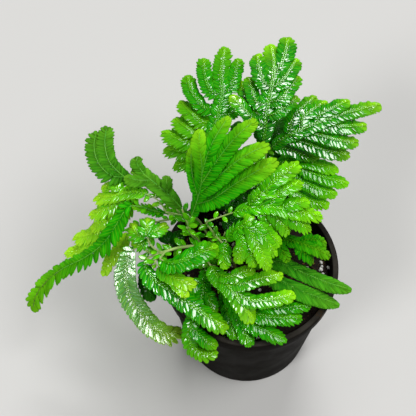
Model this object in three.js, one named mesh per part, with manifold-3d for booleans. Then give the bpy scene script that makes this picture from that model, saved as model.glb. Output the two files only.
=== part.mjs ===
// A small potted spikemoss: a round nursery pot, its compost, the stems that rise
// from it, and the flat, fern-like leafy sprays that the stems carry.
// Millimetres, +Z up, the origin at the centre of the pot's underside.

import * as THREE from "three";
import { mergeVertices } from "three/addons/utils/BufferGeometryUtils.js";
import Module from "manifold-3d";

const wasm = await Module();
wasm.setup();

// Pot
const RIM_RADIUS = 27.5;
const POT_HEIGHT = 48;
const BASE_RADIUS = 21.2;
const WALL = 1;
const BASE_THICKNESS = 1.5;
const BASE_BEVEL = 0.7;
const LIP_TAPER = 0.3;
const LIP_DEPTH = 5;
const LIP_STEP = 0.9;
const RIM_ROUND = 0.5;
const RIM_CHAMFER = 0.2;
const POT_SIDES = 28;
const DRAIN_RADIUS = 2;
const DRAIN_RING_RADIUS = 14;
const DRAIN_COUNT = 5;
const DRAIN_SIDES = 8;
const DRAIN_CUT = 4.5;

// Compost
const COMPOST_LEVEL = 42.6;
const COMPOST_CROWN = 1.6;
const COMPOST_LUMP = 0.45;
const COMPOST_SIDES = 16;
const COMPOST_RINGS = 4;
const CLEARANCE = 0.4;

// Lumps on the compost: waves across, along and on the slant of it, in radians per mm
const WAVES = { across: 0.55, along: 0.6, start: 1.3, slantAcross: -0.5, slantAlong: 0.9, slantShare: 0.6 };

// Leafy branches
const STEM_RADIUS = 0.5;
const TOOTH_PITCH = 6.4;
const NOTCH = 0.8;
const LEAF_LEAD = 0.9;
const RIDGE_HEIGHT = 0.6;
const BLADE_DEPTH = 0.3;
const EDGE_DROOP = 0.16;
const BASE_SHARE = 0.2;
const BASE_NARROWING = 0.55;
const TIP_SHARE = 0.34;
const TIP_NARROWING = 0.86;

// Corners closer than this are one
const WELD = 1e-4;

// Rooted stems
const TRUNK_RADIUS = 0.7;
const TRUNK_SIDES = 4;
const TRUNK_STEP = 6;
const COLLAR_HEIGHT = 2;
const JOINT_GAP = 0.9;
const ARM_BEND = 1 / 3;

const LEAF = { color: 0x3f9a12, roughness: 0.35, metalness: 0 };
const STEM = { color: 0x8d9b3f, roughness: 0.55, metalness: 0 };
const BLACK_PLASTIC = { color: 0x1b1a19, roughness: 0.6, metalness: 0 };
const PEAT = { color: 0x1d130c, roughness: 0.95, metalness: 0 };

// Every route is read off one photograph of the plant, 416 pixels square. A route point is
// [pixels from the left, pixels from the top, height above the bench in mm], and it lies
// where the sight line through that pixel is at that height.
const SIGHT = {
  aim: new THREE.Vector3(-13.15, 19.95, 48),
  distance: 321,
  elevation: THREE.MathUtils.degToRad(60.4),
  focalPixels: 1000,
  middlePixel: 208,
};

// The sprays. The first branch of each is its axis. Every other one leaves the axis at
// `from`, a share of the axis's length, and then follows its own route. `wide` is the width
// across the leaves, `bare` the length of stem before the first leaves, and `roll` turns the
// flat side away from facing up, in degrees. Widths and lengths are in mm.
const SPRAYS = {
  spray_centre: {
    axis: {
      wide: 5.5,
      bare: 5,
      route: [
        [187, 227, 70], [195, 207, 78], [201, 185, 86], [202, 165, 91], [197, 146, 95],
        [196, 128, 96],
      ],
    },
    left_wing: { from: 0.36, wide: 4.8, route: [[193, 178, 86], [191, 162, 88], [192, 146, 89]] },
    inner: { from: 0.6, wide: 4.6, route: [[209, 150, 94], [219, 131, 96], [230, 115, 96]] },
    second: {
      from: 0.5,
      wide: 5.3,
      route: [
        [214, 165, 92], [227, 147, 95], [241, 132, 97], [257, 119, 97],
      ],
    },
    third: {
      from: 0.4,
      wide: 5.7,
      route: [
        [216, 179, 89], [233, 164, 93], [252, 152, 95], [271, 143, 95],
      ],
    },
    outer: {
      from: 0.28,
      wide: 6.2,
      route: [
        [213, 199, 85], [235, 184, 89], [257, 171, 91], [279, 158, 91],
      ],
    },
  },
  spray_north: {
    axis: {
      wide: 6.4,
      bare: 2,
      route: [
        [262, 150, 78], [265, 130, 82], [267, 110, 85], [271, 90, 87], [274, 68, 88],
        [271, 42, 86],
      ],
    },
    crown_right: { from: 0.64, wide: 6.4, route: [[281, 64, 88], [286, 50, 88], [288, 35, 86]] },
    crown_left: { from: 0.5, wide: 5.3, route: [[264, 82, 88], [259, 68, 88], [258, 52, 86]] },
    upper_right: { from: 0.5, wide: 5.5, route: [[281, 82, 88], [290, 70, 88], [298, 57, 86]] },
    middle_right: { from: 0.38, wide: 5.1, route: [[279, 100, 87], [289, 88, 87], [299, 74, 85]] },
    middle_left: { from: 0.37, wide: 4.6, route: [[258, 103, 86], [252, 90, 86], [249, 75, 84]] },
    lower_right: { from: 0.27, wide: 4.4, route: [[277, 113, 86], [287, 105, 86], [298, 95, 84]] },
    lower_left: { from: 0.27, wide: 4.6, route: [[255, 112, 84], [247, 97, 84], [241, 80, 82]] },
    lowest_left: { from: 0.17, wide: 4.8, route: [[256, 122, 83.5], [244, 109, 86], [230, 94, 87]] },
  },
  spray_north_west: {
    axis: {
      wide: 5.9,
      bare: 2,
      route: [
        [206, 166, 73], [211, 142, 78], [217, 120, 82], [222, 96, 84], [221, 70, 84],
        [226, 45, 82],
      ],
    },
    top_right: { from: 0.55, wide: 4.8, route: [[229, 90, 84], [235, 74, 84], [239, 57, 82]] },
    top_left: { from: 0.52, wide: 5.3, route: [[212, 92, 84], [205, 76, 84], [204, 56, 82]] },
    upper_left: {
      from: 0.42,
      wide: 5.3,
      route: [
        [206, 108, 82], [196, 98, 82], [190, 87, 81], [188, 73, 79],
      ],
    },
    upper_right: { from: 0.36, wide: 4.4, route: [[229, 114, 82], [238, 108, 81], [245, 99, 79]] },
    third_left: { from: 0.33, wide: 4.8, route: [[204, 122, 80], [193, 114, 80], [180, 99, 77]] },
    fourth_left: { from: 0.25, wide: 4.8, route: [[199, 134, 78], [187, 127, 78], [174, 116, 75]] },
    fifth_left: { from: 0.18, wide: 4.8, route: [[195, 143, 76], [180, 139, 76], [162, 129, 73]] },
    sixth_left: { from: 0.11, wide: 4.8, route: [[193, 152, 74], [179, 150, 73], [163, 147, 70]] },
    lowest_left: { from: 0.04, wide: 4.4, route: [[194, 163, 72], [184, 163, 71], [171, 165, 68]] },
  },
  spray_east: {
    axis: {
      wide: 5.7,
      bare: 2,
      route: [
        [266, 152, 73], [284, 138, 77], [307, 127, 79], [335, 116, 79], [360, 109, 77],
        [382, 103, 74],
      ],
    },
    upper_outer: { from: 0.42, wide: 5.3, route: [[320, 115, 80], [334, 107, 80], [350, 99, 78]] },
    upper_middle: { from: 0.3, wide: 5.1, route: [[303, 118, 80], [314, 109, 80], [328, 100, 78]] },
    upper_inner: { from: 0.2, wide: 4.6, route: [[293, 118, 80], [304, 106, 80], [317, 95, 78]] },
    lower_outer: { from: 0.4, wide: 5.7, route: [[329, 125, 78], [348, 126, 77], [368, 124, 74]] },
    lower_middle: { from: 0.28, wide: 5.5, route: [[316, 134, 77], [338, 140, 76], [360, 141, 73]] },
    lower_inner: { from: 0.17, wide: 5.5, route: [[303, 142, 75], [328, 151, 73], [352, 153, 70]] },
    lowest: { from: 0.06, wide: 4.8, route: [[287, 149, 73], [304, 154, 71], [321, 154, 69]] },
  },
  spray_east_low: {
    axis: {
      wide: 5.5,
      bare: 2,
      route: [
        [263, 168, 64], [285, 162, 67], [305, 161, 68], [322, 165, 67], [340, 169, 64],
      ],
    },
    upper: { from: 0.28, wide: 4.4, route: [[295, 156, 68], [307, 153, 66]] },
    middle: { from: 0.44, wide: 5.3, route: [[306, 169, 66.5], [328, 178, 64.5], [350, 183, 61.5]] },
    lower: { from: 0.3, wide: 5.3, route: [[298, 177, 64.5], [317, 188, 62.5], [339, 193, 59.5]] },
    lowest: { from: 0.2, wide: 5.1, route: [[288, 184, 62.5], [308, 199, 59.5], [331, 204, 56.5]] },
  },
  spray_right: {
    axis: {
      wide: 5.5,
      bare: 9,
      route: [
        [206, 222, 66], [235, 212, 71], [262, 206, 74], [290, 210, 73], [325, 216, 67],
      ],
    },
    top: { from: 0.46, wide: 5.5, route: [[268, 188, 77], [284, 173, 78], [300, 161, 76]] },
    second: { from: 0.52, wide: 5.1, route: [[278, 194, 76], [290, 186, 76], [303, 180, 74]] },
    third: { from: 0.6, wide: 4.8, route: [[292, 204, 74], [310, 199, 71]] },
    short: { from: 0.36, wide: 4.6, route: [[258, 196, 76], [272, 191, 76], [285, 190, 75]] },
    lower_outer: { from: 0.6, wide: 5.3, route: [[291, 217, 71], [301, 223, 69], [313, 228, 65]] },
    lower_middle: { from: 0.52, wide: 5.3, route: [[276, 215, 72], [284, 225, 70], [290, 236, 66]] },
    lower_inner: { from: 0.42, wide: 4.8, route: [[265, 214, 72], [272, 224, 70], [278, 234, 66]] },
  },
  spray_middle: {
    axis: {
      wide: 5.2,
      bare: 2,
      route: [
        [224, 245, 64], [234, 231, 70], [246, 228, 73], [258, 246, 72], [271, 272, 66],
      ],
    },
    left: { from: 0.3, wide: 4.8, route: [[242, 241, 72], [240, 252, 70], [238, 266, 66]] },
    lower: { from: 0.55, wide: 4.4, route: [[252, 254, 70], [255, 269, 66]] },
    right: { from: 0.42, wide: 4.8, route: [[260, 234, 73], [269, 244, 71], [278, 257, 67]] },
    far_right: { from: 0.33, wide: 4.6, route: [[260, 227, 73], [271, 235, 71], [283, 245, 67]] },
    small_up: { from: 0.25, wide: 3.6, route: [[247, 221, 74], [247, 213, 73]] },
    matte_left: { from: 0.05, wide: 4.8, route: [[224, 254, 66], [226, 271, 63]] },
  },
  spray_right_low: {
    axis: {
      wide: 4.8,
      bare: 2,
      route: [
        [266, 242, 56], [282, 240, 60], [300, 243, 62], [316, 249, 61], [332, 256, 57],
      ],
    },
    upper: { from: 0.5, wide: 4.4, route: [[307, 240, 62], [317, 240, 61], [328, 243, 58]] },
    lower_outer: { from: 0.5, wide: 4.2, route: [[302, 251, 61], [308, 256, 60], [315, 262, 56]] },
    lower_inner: { from: 0.22, wide: 4.2, route: [[281, 247, 61.5], [285, 255, 61.5], [289, 263, 60]] },
  },
  spray_south_east: {
    axis: {
      wide: 5.2,
      bare: 2,
      route: [
        [258, 258, 52], [280, 263, 55.5], [302, 272, 56], [326, 282, 54.5], [353, 290, 51],
      ],
    },
    lower: {
      from: 0.1,
      wide: 5.8,
      route: [
        [276, 276, 55], [297, 289, 55.5], [318, 297, 53.5], [341, 305, 50],
      ],
    },
  },
  spray_front: {
    axis: {
      wide: 6.4,
      bare: 2,
      route: [
        [208, 262, 57], [217, 275, 60], [230, 287, 62], [244, 306, 60], [256, 324, 55],
      ],
    },
    upper: { from: 0.22, wide: 4.2, route: [[229, 277, 63], [242, 272, 63], [256, 269, 61]] },
    middle: { from: 0.34, wide: 4.8, route: [[240, 284, 63], [258, 279, 62], [284, 273, 59]] },
    lower: { from: 0.52, wide: 5.1, route: [[250, 300, 61], [272, 299, 60], [296, 293, 57]] },
  },
  spray_front_low: {
    axis: {
      wide: 5.7,
      bare: 2,
      route: [
        [220, 286, 49], [238, 304, 54], [260, 315, 55.5], [282, 317, 54.5],
        [304, 317, 52.5],
      ],
    },
    upper: { from: 0.42, wide: 4.4, route: [[272, 308, 55.5], [291, 307, 54.5], [312, 305, 52.5]] },
    lower: { from: 0.28, wide: 5.5, route: [[251, 323, 54], [268, 332, 52.5], [288, 341, 50.5]] },
    lowest: { from: 0.14, wide: 5.5, route: [[239, 318, 53], [245, 332, 52], [251, 348, 50.5]] },
    lowest_left: { from: 0.08, wide: 4.8, route: [[229, 316, 52], [236, 341, 50]] },
  },
  spray_west_pair: {
    axis: {
      wide: 5.8,
      bare: 2,
      route: [
        [146, 186, 64], [128, 179, 66.5], [111, 164, 69], [105, 146, 69], [107, 124, 67],
      ],
    },
    outer: {
      from: 0.24,
      wide: 6.2,
      route: [
        [112, 176, 68.5], [99, 164, 69], [94, 147, 68.5], [97, 129, 66],
      ],
    },
  },
  spray_west_top: {
    axis: {
      wide: 4.4,
      bare: 2,
      route: [
        [182, 209, 68], [168, 193, 71], [148, 178, 71], [132, 168, 70], [138, 156, 67],
      ],
    },
    inner: { from: 0.14, wide: 4, route: [[169, 190, 73], [164, 174, 72]] },
    outer: { from: 0.42, wide: 4, route: [[140, 186, 72], [124, 185, 71]] },
  },
  spray_west_pale: {
    axis: {
      wide: 4.6,
      bare: 8,
      route: [
        [166, 212, 66.5], [160, 202, 69], [149, 195, 70], [131, 192, 68.5], [110, 196, 65],
        [92, 198, 61],
      ],
    },
    upper: { from: 0.62, wide: 4, route: [[116, 187, 67], [100, 186, 63]] },
    second: { from: 0.6, wide: 4.8, route: [[117, 202, 64], [103, 210, 61], [88, 212, 56]] },
    third: { from: 0.52, wide: 4.8, route: [[120, 207, 62], [106, 219, 58], [89, 227, 52]] },
    fourth: {
      from: 0.45,
      wide: 5,
      route: [
        [119, 214, 59], [100, 228, 53], [85, 235, 48], [71, 236, 44],
      ],
    },
    lowest: {
      from: 0.4,
      wide: 5,
      route: [
        [118, 220, 56], [99, 238, 48], [81, 249, 42], [63, 252, 38],
      ],
    },
  },
  spray_west_long: {
    axis: {
      wide: 6.4,
      bare: 12,
      route: [
        [168, 214.5, 62], [156, 211, 64.5], [143, 207, 67], [129, 206, 68],
        [118, 222, 66.5], [104, 243, 62], [84, 258, 56], [62, 269, 50], [44, 284, 44],
        [34, 300, 39], [34, 314, 35],
      ],
    },
    edge_on: { from: 0.03, wide: 3.4, roll: 55, route: [[154, 211, 64.6], [138, 207, 66.6]] },
  },
  spray_west_under: {
    axis: {
      wide: 4.2,
      bare: 2,
      route: [
        [132, 228, 52], [121, 244, 49], [110, 260, 45], [101, 276, 40],
      ],
    },
  },
  spray_long_left: {
    axis: {
      wide: 7,
      bare: 2,
      route: [
        [140, 246, 60.5], [132, 251, 61], [127, 264, 59.5], [126, 280, 56.5],
        [130, 297, 52.5], [139, 312, 48.5], [151, 326, 44.5], [166, 334, 41.5],
        [184, 331, 39],
      ],
    },
  },
  spray_long_right: {
    axis: {
      wide: 6.8,
      bare: 2,
      route: [
        [149, 257, 60], [145, 265, 60.5], [152, 277, 61], [170, 290, 60], [190, 304, 58],
        [210, 318, 56], [230, 330, 53],
      ],
    },
  },
  spray_west_centre: {
    axis: {
      wide: 5,
      bare: 2,
      route: [
        [150, 244, 63], [147, 236, 65], [147, 226, 65.5], [149, 216, 64],
      ],
    },
    right: { from: 0.3, wide: 4, route: [[155, 231, 65.5], [168, 222, 64]] },
    left: { from: 0.25, wide: 4.4, route: [[140, 236, 64], [133, 226, 63]] },
  },
  spray_south_west: {
    axis: {
      wide: 7,
      bare: 2,
      route: [
        [160, 259, 63.5], [170, 263, 66.5], [184, 260, 68.5], [201, 252, 69],
        [220, 245, 67],
      ],
    },
  },
  spray_south_west_low: {
    axis: {
      wide: 5.4,
      bare: 2,
      route: [
        [155, 263, 61.5], [165, 272, 63.3], [182, 281, 63.8], [198, 285, 62],
      ],
    },
    lower: { from: 0.4, wide: 4.4, route: [[180, 287, 63.2], [188, 298, 61.5]] },
  },
  spray_curl: {
    axis: {
      wide: 5.4,
      bare: 2,
      route: [
        [205, 266, 50], [204, 280, 53], [200, 297, 54], [191, 313, 54], [184, 329, 52.5],
        [187, 345, 49.5], [201, 354, 47], [219, 354, 47.5],
      ],
    },
    inner: { from: 0.62, wide: 4.6, route: [[197, 333, 52], [207, 341, 50.5], [219, 346, 49]] },
    left: { from: 0.2, wide: 4.6, route: [[194, 286, 54], [186, 300, 52.5]] },
    right: { from: 0.3, wide: 4.6, route: [[208, 296, 54.5], [214, 317, 53]] },
  },
  spray_back_low_left: {
    axis: {
      wide: 5.6,
      bare: 2,
      route: [
        [237, 178, 61], [228, 162, 64], [219, 140, 66], [217, 112, 63],
      ],
    },
    outer: { from: 0.45, wide: 5, route: [[208, 134, 65], [200, 112, 62]] },
    left: { from: 0.25, wide: 5, route: [[209, 155, 64], [191, 146, 61]] },
    right: { from: 0.4, wide: 5, route: [[232, 142, 66], [240, 120, 63]] },
  },
  spray_back_low_right: {
    axis: {
      wide: 5.6,
      bare: 2,
      route: [
        [262, 188, 54], [268, 165, 60], [275, 138, 64], [282, 108, 61],
      ],
    },
    left: { from: 0.4, wide: 4.8, route: [[262, 135, 64], [258, 108, 61]] },
    outer: { from: 0.5, wide: 4.8, route: [[294, 128, 63], [312, 112, 60]] },
    right: { from: 0.3, wide: 4.8, route: [[294, 150, 62], [318, 138, 59]] },
  },
  spray_centre_low: {
    axis: {
      wide: 6,
      bare: 2,
      route: [
        [223, 238, 56.5], [229, 224, 60], [241, 206, 63], [261, 192, 64], [279, 184, 61],
      ],
    },
    upper: { from: 0.35, wide: 5, route: [[231, 202, 64], [238, 187, 62]] },
    lower: { from: 0.5, wide: 5, route: [[258, 206, 62], [276, 201, 59]] },
  },
  spray_low_back_left: {
    axis: {
      wide: 5.4,
      bare: 2,
      route: [
        [229, 216, 49], [221, 202, 52], [212, 189, 53], [205, 178, 52],
      ],
    },
    left: { from: 0.3, wide: 4.6, route: [[214, 202, 52.5], [204, 195, 51.5]] },
    right: { from: 0.35, wide: 4.6, route: [[224, 194, 53], [229, 181, 52]] },
  },
  spray_low_back_right: {
    axis: {
      wide: 5.4,
      bare: 2,
      route: [
        [264, 216, 48], [272, 202, 51], [283, 189, 52], [296, 179, 51],
      ],
    },
    left: { from: 0.3, wide: 4.6, route: [[269, 195, 52], [270, 180, 51]] },
    right: { from: 0.35, wide: 4.6, route: [[287, 198, 51.5], [300, 196, 50.5]] },
  },
  spray_shade_west: {
    axis: { wide: 5.4, bare: 2, route: [[172, 250, 54], [168, 241, 56], [163, 229, 56]] },
    right: { from: 0.2, wide: 4.6, route: [[175, 240, 56], [181, 230, 55.5]] },
  },
  spray_shade_south_west: {
    axis: {
      wide: 5.4,
      bare: 2,
      route: [
        [154, 261, 54.5], [148, 272, 55.5], [147, 286, 53], [155, 302, 50],
      ],
    },
  },
};

// The rooted stems. Each rises from its root, [x, y] in mm on the compost, along its route,
// and arms part from it, at a share of its length, to end just short of the sprays that it
// carries.
const TRUNKS = {
  stem_centre: {
    root: [-9, 1],
    route: [[197, 240, 53], [191, 233, 62]],
    carries: { spray_centre: 1, spray_west_top: 0.8 },
  },
  stem_west: {
    root: [-11, 6],
    route: [[199, 221, 50], [187, 217, 57]],
    carries: { spray_west_pale: 1, spray_west_pair: 0.9, spray_west_long: 1, spray_west_under: 0.7 },
  },
  stem_south_west: {
    root: [-12, -4],
    route: [[202, 257, 49], [196, 247, 55], [183, 247, 58], [170, 250, 59], [159, 254, 59]],
    carries: {
      spray_shade_west: 0.7,
      spray_shade_south_west: 0.85,
      spray_south_west: 0.86,
      spray_south_west_low: 0.96,
      spray_long_right: 1,
      spray_long_left: 1,
      spray_west_centre: 0.94,
    },
  },
  stem_north: {
    root: [-3, 9],
    route: [[234, 204, 53], [242, 188, 58], [246, 176, 64]],
    carries: {
      spray_north: 1,
      spray_north_west: 0.85,
      spray_back_low_left: 0.6,
      spray_low_back_left: 0.15,
    },
  },
  stem_east: {
    root: [4, 7],
    route: [[258, 204, 52], [261, 194, 57], [264, 176, 63]],
    carries: {
      spray_east: 1,
      spray_east_low: 0.8,
      spray_back_low_right: 0.5,
      spray_low_back_right: 0.12,
    },
  },
  stem_right: {
    root: [-5, 1],
    route: [[221, 247, 51], [215, 236, 58]],
    carries: { spray_right: 1, spray_middle: 0.9, spray_centre_low: 0.6 },
  },
  stem_south_east: {
    root: [1, -1],
    route: [[254, 258, 50]],
    carries: { spray_right_low: 1, spray_south_east: 0.9 },
  },
  stem_front: {
    root: [-7, -6],
    route: [[217, 268, 48], [212, 266, 53]],
    carries: { spray_front: 1, spray_front_low: 0.5, spray_curl: 0.6 },
  },
};

// The point at a height on the sight line through a pixel of the photograph.
function seen([across, down, height]) {
  const forward = new THREE.Vector3(0, Math.cos(SIGHT.elevation), -Math.sin(SIGHT.elevation));
  const upward = new THREE.Vector3(0, Math.sin(SIGHT.elevation), Math.cos(SIGHT.elevation));
  const eye = SIGHT.aim.clone().addScaledVector(forward, -SIGHT.distance);
  const ray = forward
    .clone()
    .addScaledVector(new THREE.Vector3(1, 0, 0), (across - SIGHT.middlePixel) / SIGHT.focalPixels)
    .addScaledVector(upward, (SIGHT.middlePixel - down) / SIGHT.focalPixels);
  return eye.addScaledVector(ray, (height - eye.z) / ray.z);
}

// The smooth curve through a list of points.
function curveThrough(points) {
  return new THREE.CatmullRomCurve3(points, false, "centripetal");
}

// How wide a branch is at a share of its leafy length: narrow at its foot and its tip.
function outlineShare(share) {
  const foot = Math.min(1, BASE_NARROWING + ((1 - BASE_NARROWING) * share) / BASE_SHARE);
  const past = Math.max(0, (share - (1 - TIP_SHARE)) / TIP_SHARE);
  return foot * Math.sqrt(1 - TIP_NARROWING * past * past);
}

// The stations of a leafy branch: bare stem first, then teeth of overlapping leaves.
function stationsOf(length, wide, bare) {
  const leafy = length - bare;
  const halves = 2 * Math.max(2, Math.round(leafy / TOOTH_PITCH));
  const stations = [];
  if (bare > 0) {
    stations.push({ share: 0, half: STEM_RADIUS, lead: 0 });
  }
  for (let half = 0; half < halves; half++) {
    const share = half / halves;
    const tooth = half % 2 === 1 ? 1 : NOTCH;
    const width = half === 0 ? STEM_RADIUS : (wide / 2) * tooth * outlineShare(share);
    const lead = tooth === 1 ? LEAF_LEAD : 0;
    stations.push({ share: (bare + leafy * share) / length, half: width, lead });
  }
  return stations;
}

// One leafy branch: a thin blade with a ridge along its top, a flat underside and toothed
// edges that droop a little, along a curve.
function bladeOf(curve, { wide, bare = 0, roll = 0 }) {
  const corners = 3;
  const length = curve.getLength();
  const turn = THREE.MathUtils.degToRad(roll);
  const positions = [];
  for (const { share, half, lead } of stationsOf(length, wide, bare)) {
    const middle = curve.getPointAt(share);
    const along = curve.getTangentAt(share);
    const up = new THREE.Vector3(0, 0, 1).addScaledVector(along, -along.z).normalize();
    up.applyAxisAngle(along, turn);
    const side = new THREE.Vector3().crossVectors(along, up);
    const droop = BLADE_DEPTH + EDGE_DROOP * half;
    const under = middle.clone().addScaledVector(along, lead).addScaledVector(up, -droop);
    positions.push(
      under.clone().addScaledVector(side, -half),
      middle.clone().addScaledVector(up, RIDGE_HEIGHT),
      under.clone().addScaledVector(side, half),
    );
  }
  const tip = positions.length;
  positions.push(curve.getPointAt(1));
  const faces = [0, 2, 1];
  for (let ring = 0; ring < tip; ring += corners) {
    for (let corner = 0; corner < corners; corner++) {
      const here = ring + corner;
      const beside = ring + ((corner + 1) % corners);
      if (ring + corners === tip) {
        faces.push(here, beside, tip);
      } else {
        faces.push(here, beside, beside + corners, here, beside + corners, here + corners);
      }
    }
  }
  return new THREE.BufferGeometry().setFromPoints(positions).setIndex(faces);
}

// One spray: its axis and its side branches, joined.
function sprayOf(branches) {
  const axis = curveThrough(branches.axis.route.map(seen));
  let spray = solidOf(bladeOf(axis, branches.axis));
  for (const branch of Object.values(branches)) {
    if (branch !== branches.axis) {
      const points = [axis.getPointAt(branch.from), ...branch.route.map(seen)];
      spray = spray.add(solidOf(bladeOf(curveThrough(points), branch)));
    }
  }
  return geometryOf(spray);
}

// A stem along a curve.
function stemAlong(curve) {
  const section = new THREE.Shape();
  for (let side = 0; side < TRUNK_SIDES; side++) {
    const angle = (2 * Math.PI * side) / TRUNK_SIDES;
    const [x, y] = [TRUNK_RADIUS * Math.cos(angle), TRUNK_RADIUS * Math.sin(angle)];
    if (side === 0) {
      section.moveTo(x, y);
    } else {
      section.lineTo(x, y);
    }
  }
  const steps = Math.ceil(curve.getLength() / TRUNK_STEP);
  return new THREE.ExtrudeGeometry(section, { steps, extrudePath: curve });
}

// One rooted stem: the trunk and the arms that part from it, joined. The trunk leaves the
// compost upright, and an arm sets off the way the trunk goes on.
function trunkOf({ root, route, carries }) {
  const [x, y] = root;
  const foot = new THREE.Vector3(x, y, compostHeight(x, y) + CLEARANCE);
  const collar = foot.clone().setZ(foot.z + COLLAR_HEIGHT);
  const trunk = curveThrough([foot, collar, ...route.map(seen)]);
  let stem = solidOf(stemAlong(trunk));
  for (const [name, share] of Object.entries(carries)) {
    const onward = trunk.getTangentAt(share);
    const start = trunk.getPointAt(share).addScaledVector(onward, -TRUNK_RADIUS);
    const goal = seen(SPRAYS[name].axis.route[0]);
    const bend = start.clone().addScaledVector(onward, start.distanceTo(goal) * ARM_BEND);
    const end = goal.clone().addScaledVector(goal.clone().sub(bend).normalize(), -JOINT_GAP);
    stem = stem.add(solidOf(stemAlong(new THREE.QuadraticBezierCurve3(start, bend, end))));
  }
  return stem;
}

// A three.js geometry as a manifold-3d solid.
function solidOf(geometry) {
  const bare = geometry.clone();
  bare.deleteAttribute("normal");
  bare.deleteAttribute("uv");
  const merged = mergeVertices(bare, WELD);
  return new wasm.Manifold(
    new wasm.Mesh({
      numProp: 3,
      vertProperties: merged.attributes.position.array,
      triVerts: new Uint32Array(merged.index.array),
    }),
  );
}

// A manifold-3d solid as a three.js geometry.
function geometryOf(solid) {
  const mesh = solid.getMesh();
  const geometry = new THREE.BufferGeometry();
  geometry.setAttribute("position", new THREE.BufferAttribute(mesh.vertProperties, 3));
  geometry.setIndex(new THREE.BufferAttribute(mesh.triVerts, 1));
  geometry.computeVertexNormals();
  return geometry;
}

// A turned solid from a closed outline of [radius, height] points.
function turned(outline, sides) {
  const points = outline.map(([radius, height]) => new THREE.Vector2(radius, height));
  return new THREE.LatheGeometry(points, sides).rotateX(Math.PI / 2);
}

// The pot's outer radius at a height, below its lip.
function potRadius(height) {
  return BASE_RADIUS + ((RIM_RADIUS - LIP_STEP - BASE_RADIUS) * height) / POT_HEIGHT;
}

// The pot: a thin tapering wall with a stepped lip, and drain holes through its base.
function potOf() {
  const lipFoot = POT_HEIGHT - LIP_DEPTH;
  const outline = [
    [0, 0],
    [BASE_RADIUS - BASE_BEVEL, 0],
    [BASE_RADIUS, BASE_BEVEL],
    [potRadius(lipFoot), lipFoot],
    [RIM_RADIUS - LIP_TAPER, lipFoot],
    [RIM_RADIUS, POT_HEIGHT - RIM_ROUND],
    [RIM_RADIUS - RIM_ROUND, POT_HEIGHT],
    [potRadius(POT_HEIGHT) - WALL + RIM_CHAMFER, POT_HEIGHT],
    [potRadius(POT_HEIGHT) - WALL, POT_HEIGHT - RIM_ROUND],
    [BASE_RADIUS - WALL, BASE_THICKNESS],
    [0, BASE_THICKNESS],
  ];
  let pot = solidOf(turned(outline, POT_SIDES));
  const drain = new THREE.CylinderGeometry(DRAIN_RADIUS, DRAIN_RADIUS, DRAIN_CUT, DRAIN_SIDES);
  drain.rotateX(Math.PI / 2);
  for (let hole = 0; hole < DRAIN_COUNT; hole++) {
    const angle = (2 * Math.PI * hole) / DRAIN_COUNT;
    const place = drain.clone();
    place.translate(DRAIN_RING_RADIUS * Math.cos(angle), DRAIN_RING_RADIUS * Math.sin(angle), 0);
    pot = pot.subtract(solidOf(place));
  }
  return geometryOf(pot);
}

// The compost's height at a place: a low crown with lumps that fade out at the pot's wall.
function compostHeight(x, y) {
  const reach = Math.min(1, Math.hypot(x, y) / potRadius(COMPOST_LEVEL));
  const crossed = Math.sin(WAVES.across * x + WAVES.start) * Math.cos(WAVES.along * y);
  const slanted = Math.sin(WAVES.slantAlong * y + WAVES.slantAcross * x);
  const lumps = crossed + WAVES.slantShare * slanted;
  return COMPOST_LEVEL + (1 - reach * reach) * (COMPOST_CROWN + COMPOST_LUMP * lumps);
}

// The compost: it fills the pot from its base to its lumpy top.
function compostOf() {
  const foot = BASE_THICKNESS + CLEARANCE;
  const outline = [[0, foot], [potRadius(foot) - WALL - CLEARANCE, foot]];
  for (let ring = 0; ring < COMPOST_RINGS; ring++) {
    const radius = (potRadius(COMPOST_LEVEL) - WALL - CLEARANCE) * (1 - ring / COMPOST_RINGS);
    outline.push([radius, COMPOST_LEVEL]);
  }
  outline.push([0, COMPOST_LEVEL]);
  const compost = turned(outline, COMPOST_SIDES);
  const place = compost.attributes.position;
  for (let corner = 0; corner < place.count; corner++) {
    if (place.getZ(corner) > COMPOST_LEVEL - CLEARANCE) {
      place.setZ(corner, compostHeight(place.getX(corner), place.getY(corner)));
    }
  }
  return geometryOf(solidOf(compost));
}

// A named part of the plant or its pot.
function named(name, geometry, finish) {
  const mesh = new THREE.Mesh(geometry, new THREE.MeshStandardMaterial(finish));
  mesh.name = name;
  return mesh;
}

const spikemoss = new THREE.Group();
spikemoss.add(named("pot", potOf(), BLACK_PLASTIC));
spikemoss.add(named("compost", compostOf(), PEAT));
for (const [name, trunk] of Object.entries(TRUNKS)) {
  spikemoss.add(named(name, geometryOf(trunkOf(trunk)), STEM));
}
for (const [name, branches] of Object.entries(SPRAYS)) {
  spikemoss.add(named(name, sprayOf(branches), LEAF));
}

export default spikemoss;
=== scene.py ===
"""A small potted spikemoss: nursery pot, compost, pale stems and flat leafy sprays.

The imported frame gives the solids. Every visible surface is modelled here: the pot is
turned from its wall's outline, the compost is a lumpy bed with crumbs, grains and fibres,
and each spray is a set of thin stems clothed in rows of small overlapping leaves.
Lengths are in millimetres while a piece is made, and in metres in its finished mesh.
"""

import logging
import math
import random
from dataclasses import dataclass
from enum import Enum
from typing import Callable, Iterable, Sequence

import bmesh
import bpy
from bpy.types import Material, Mesh, NodeSocket, Object
from mathutils import Matrix, Vector, noise


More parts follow.
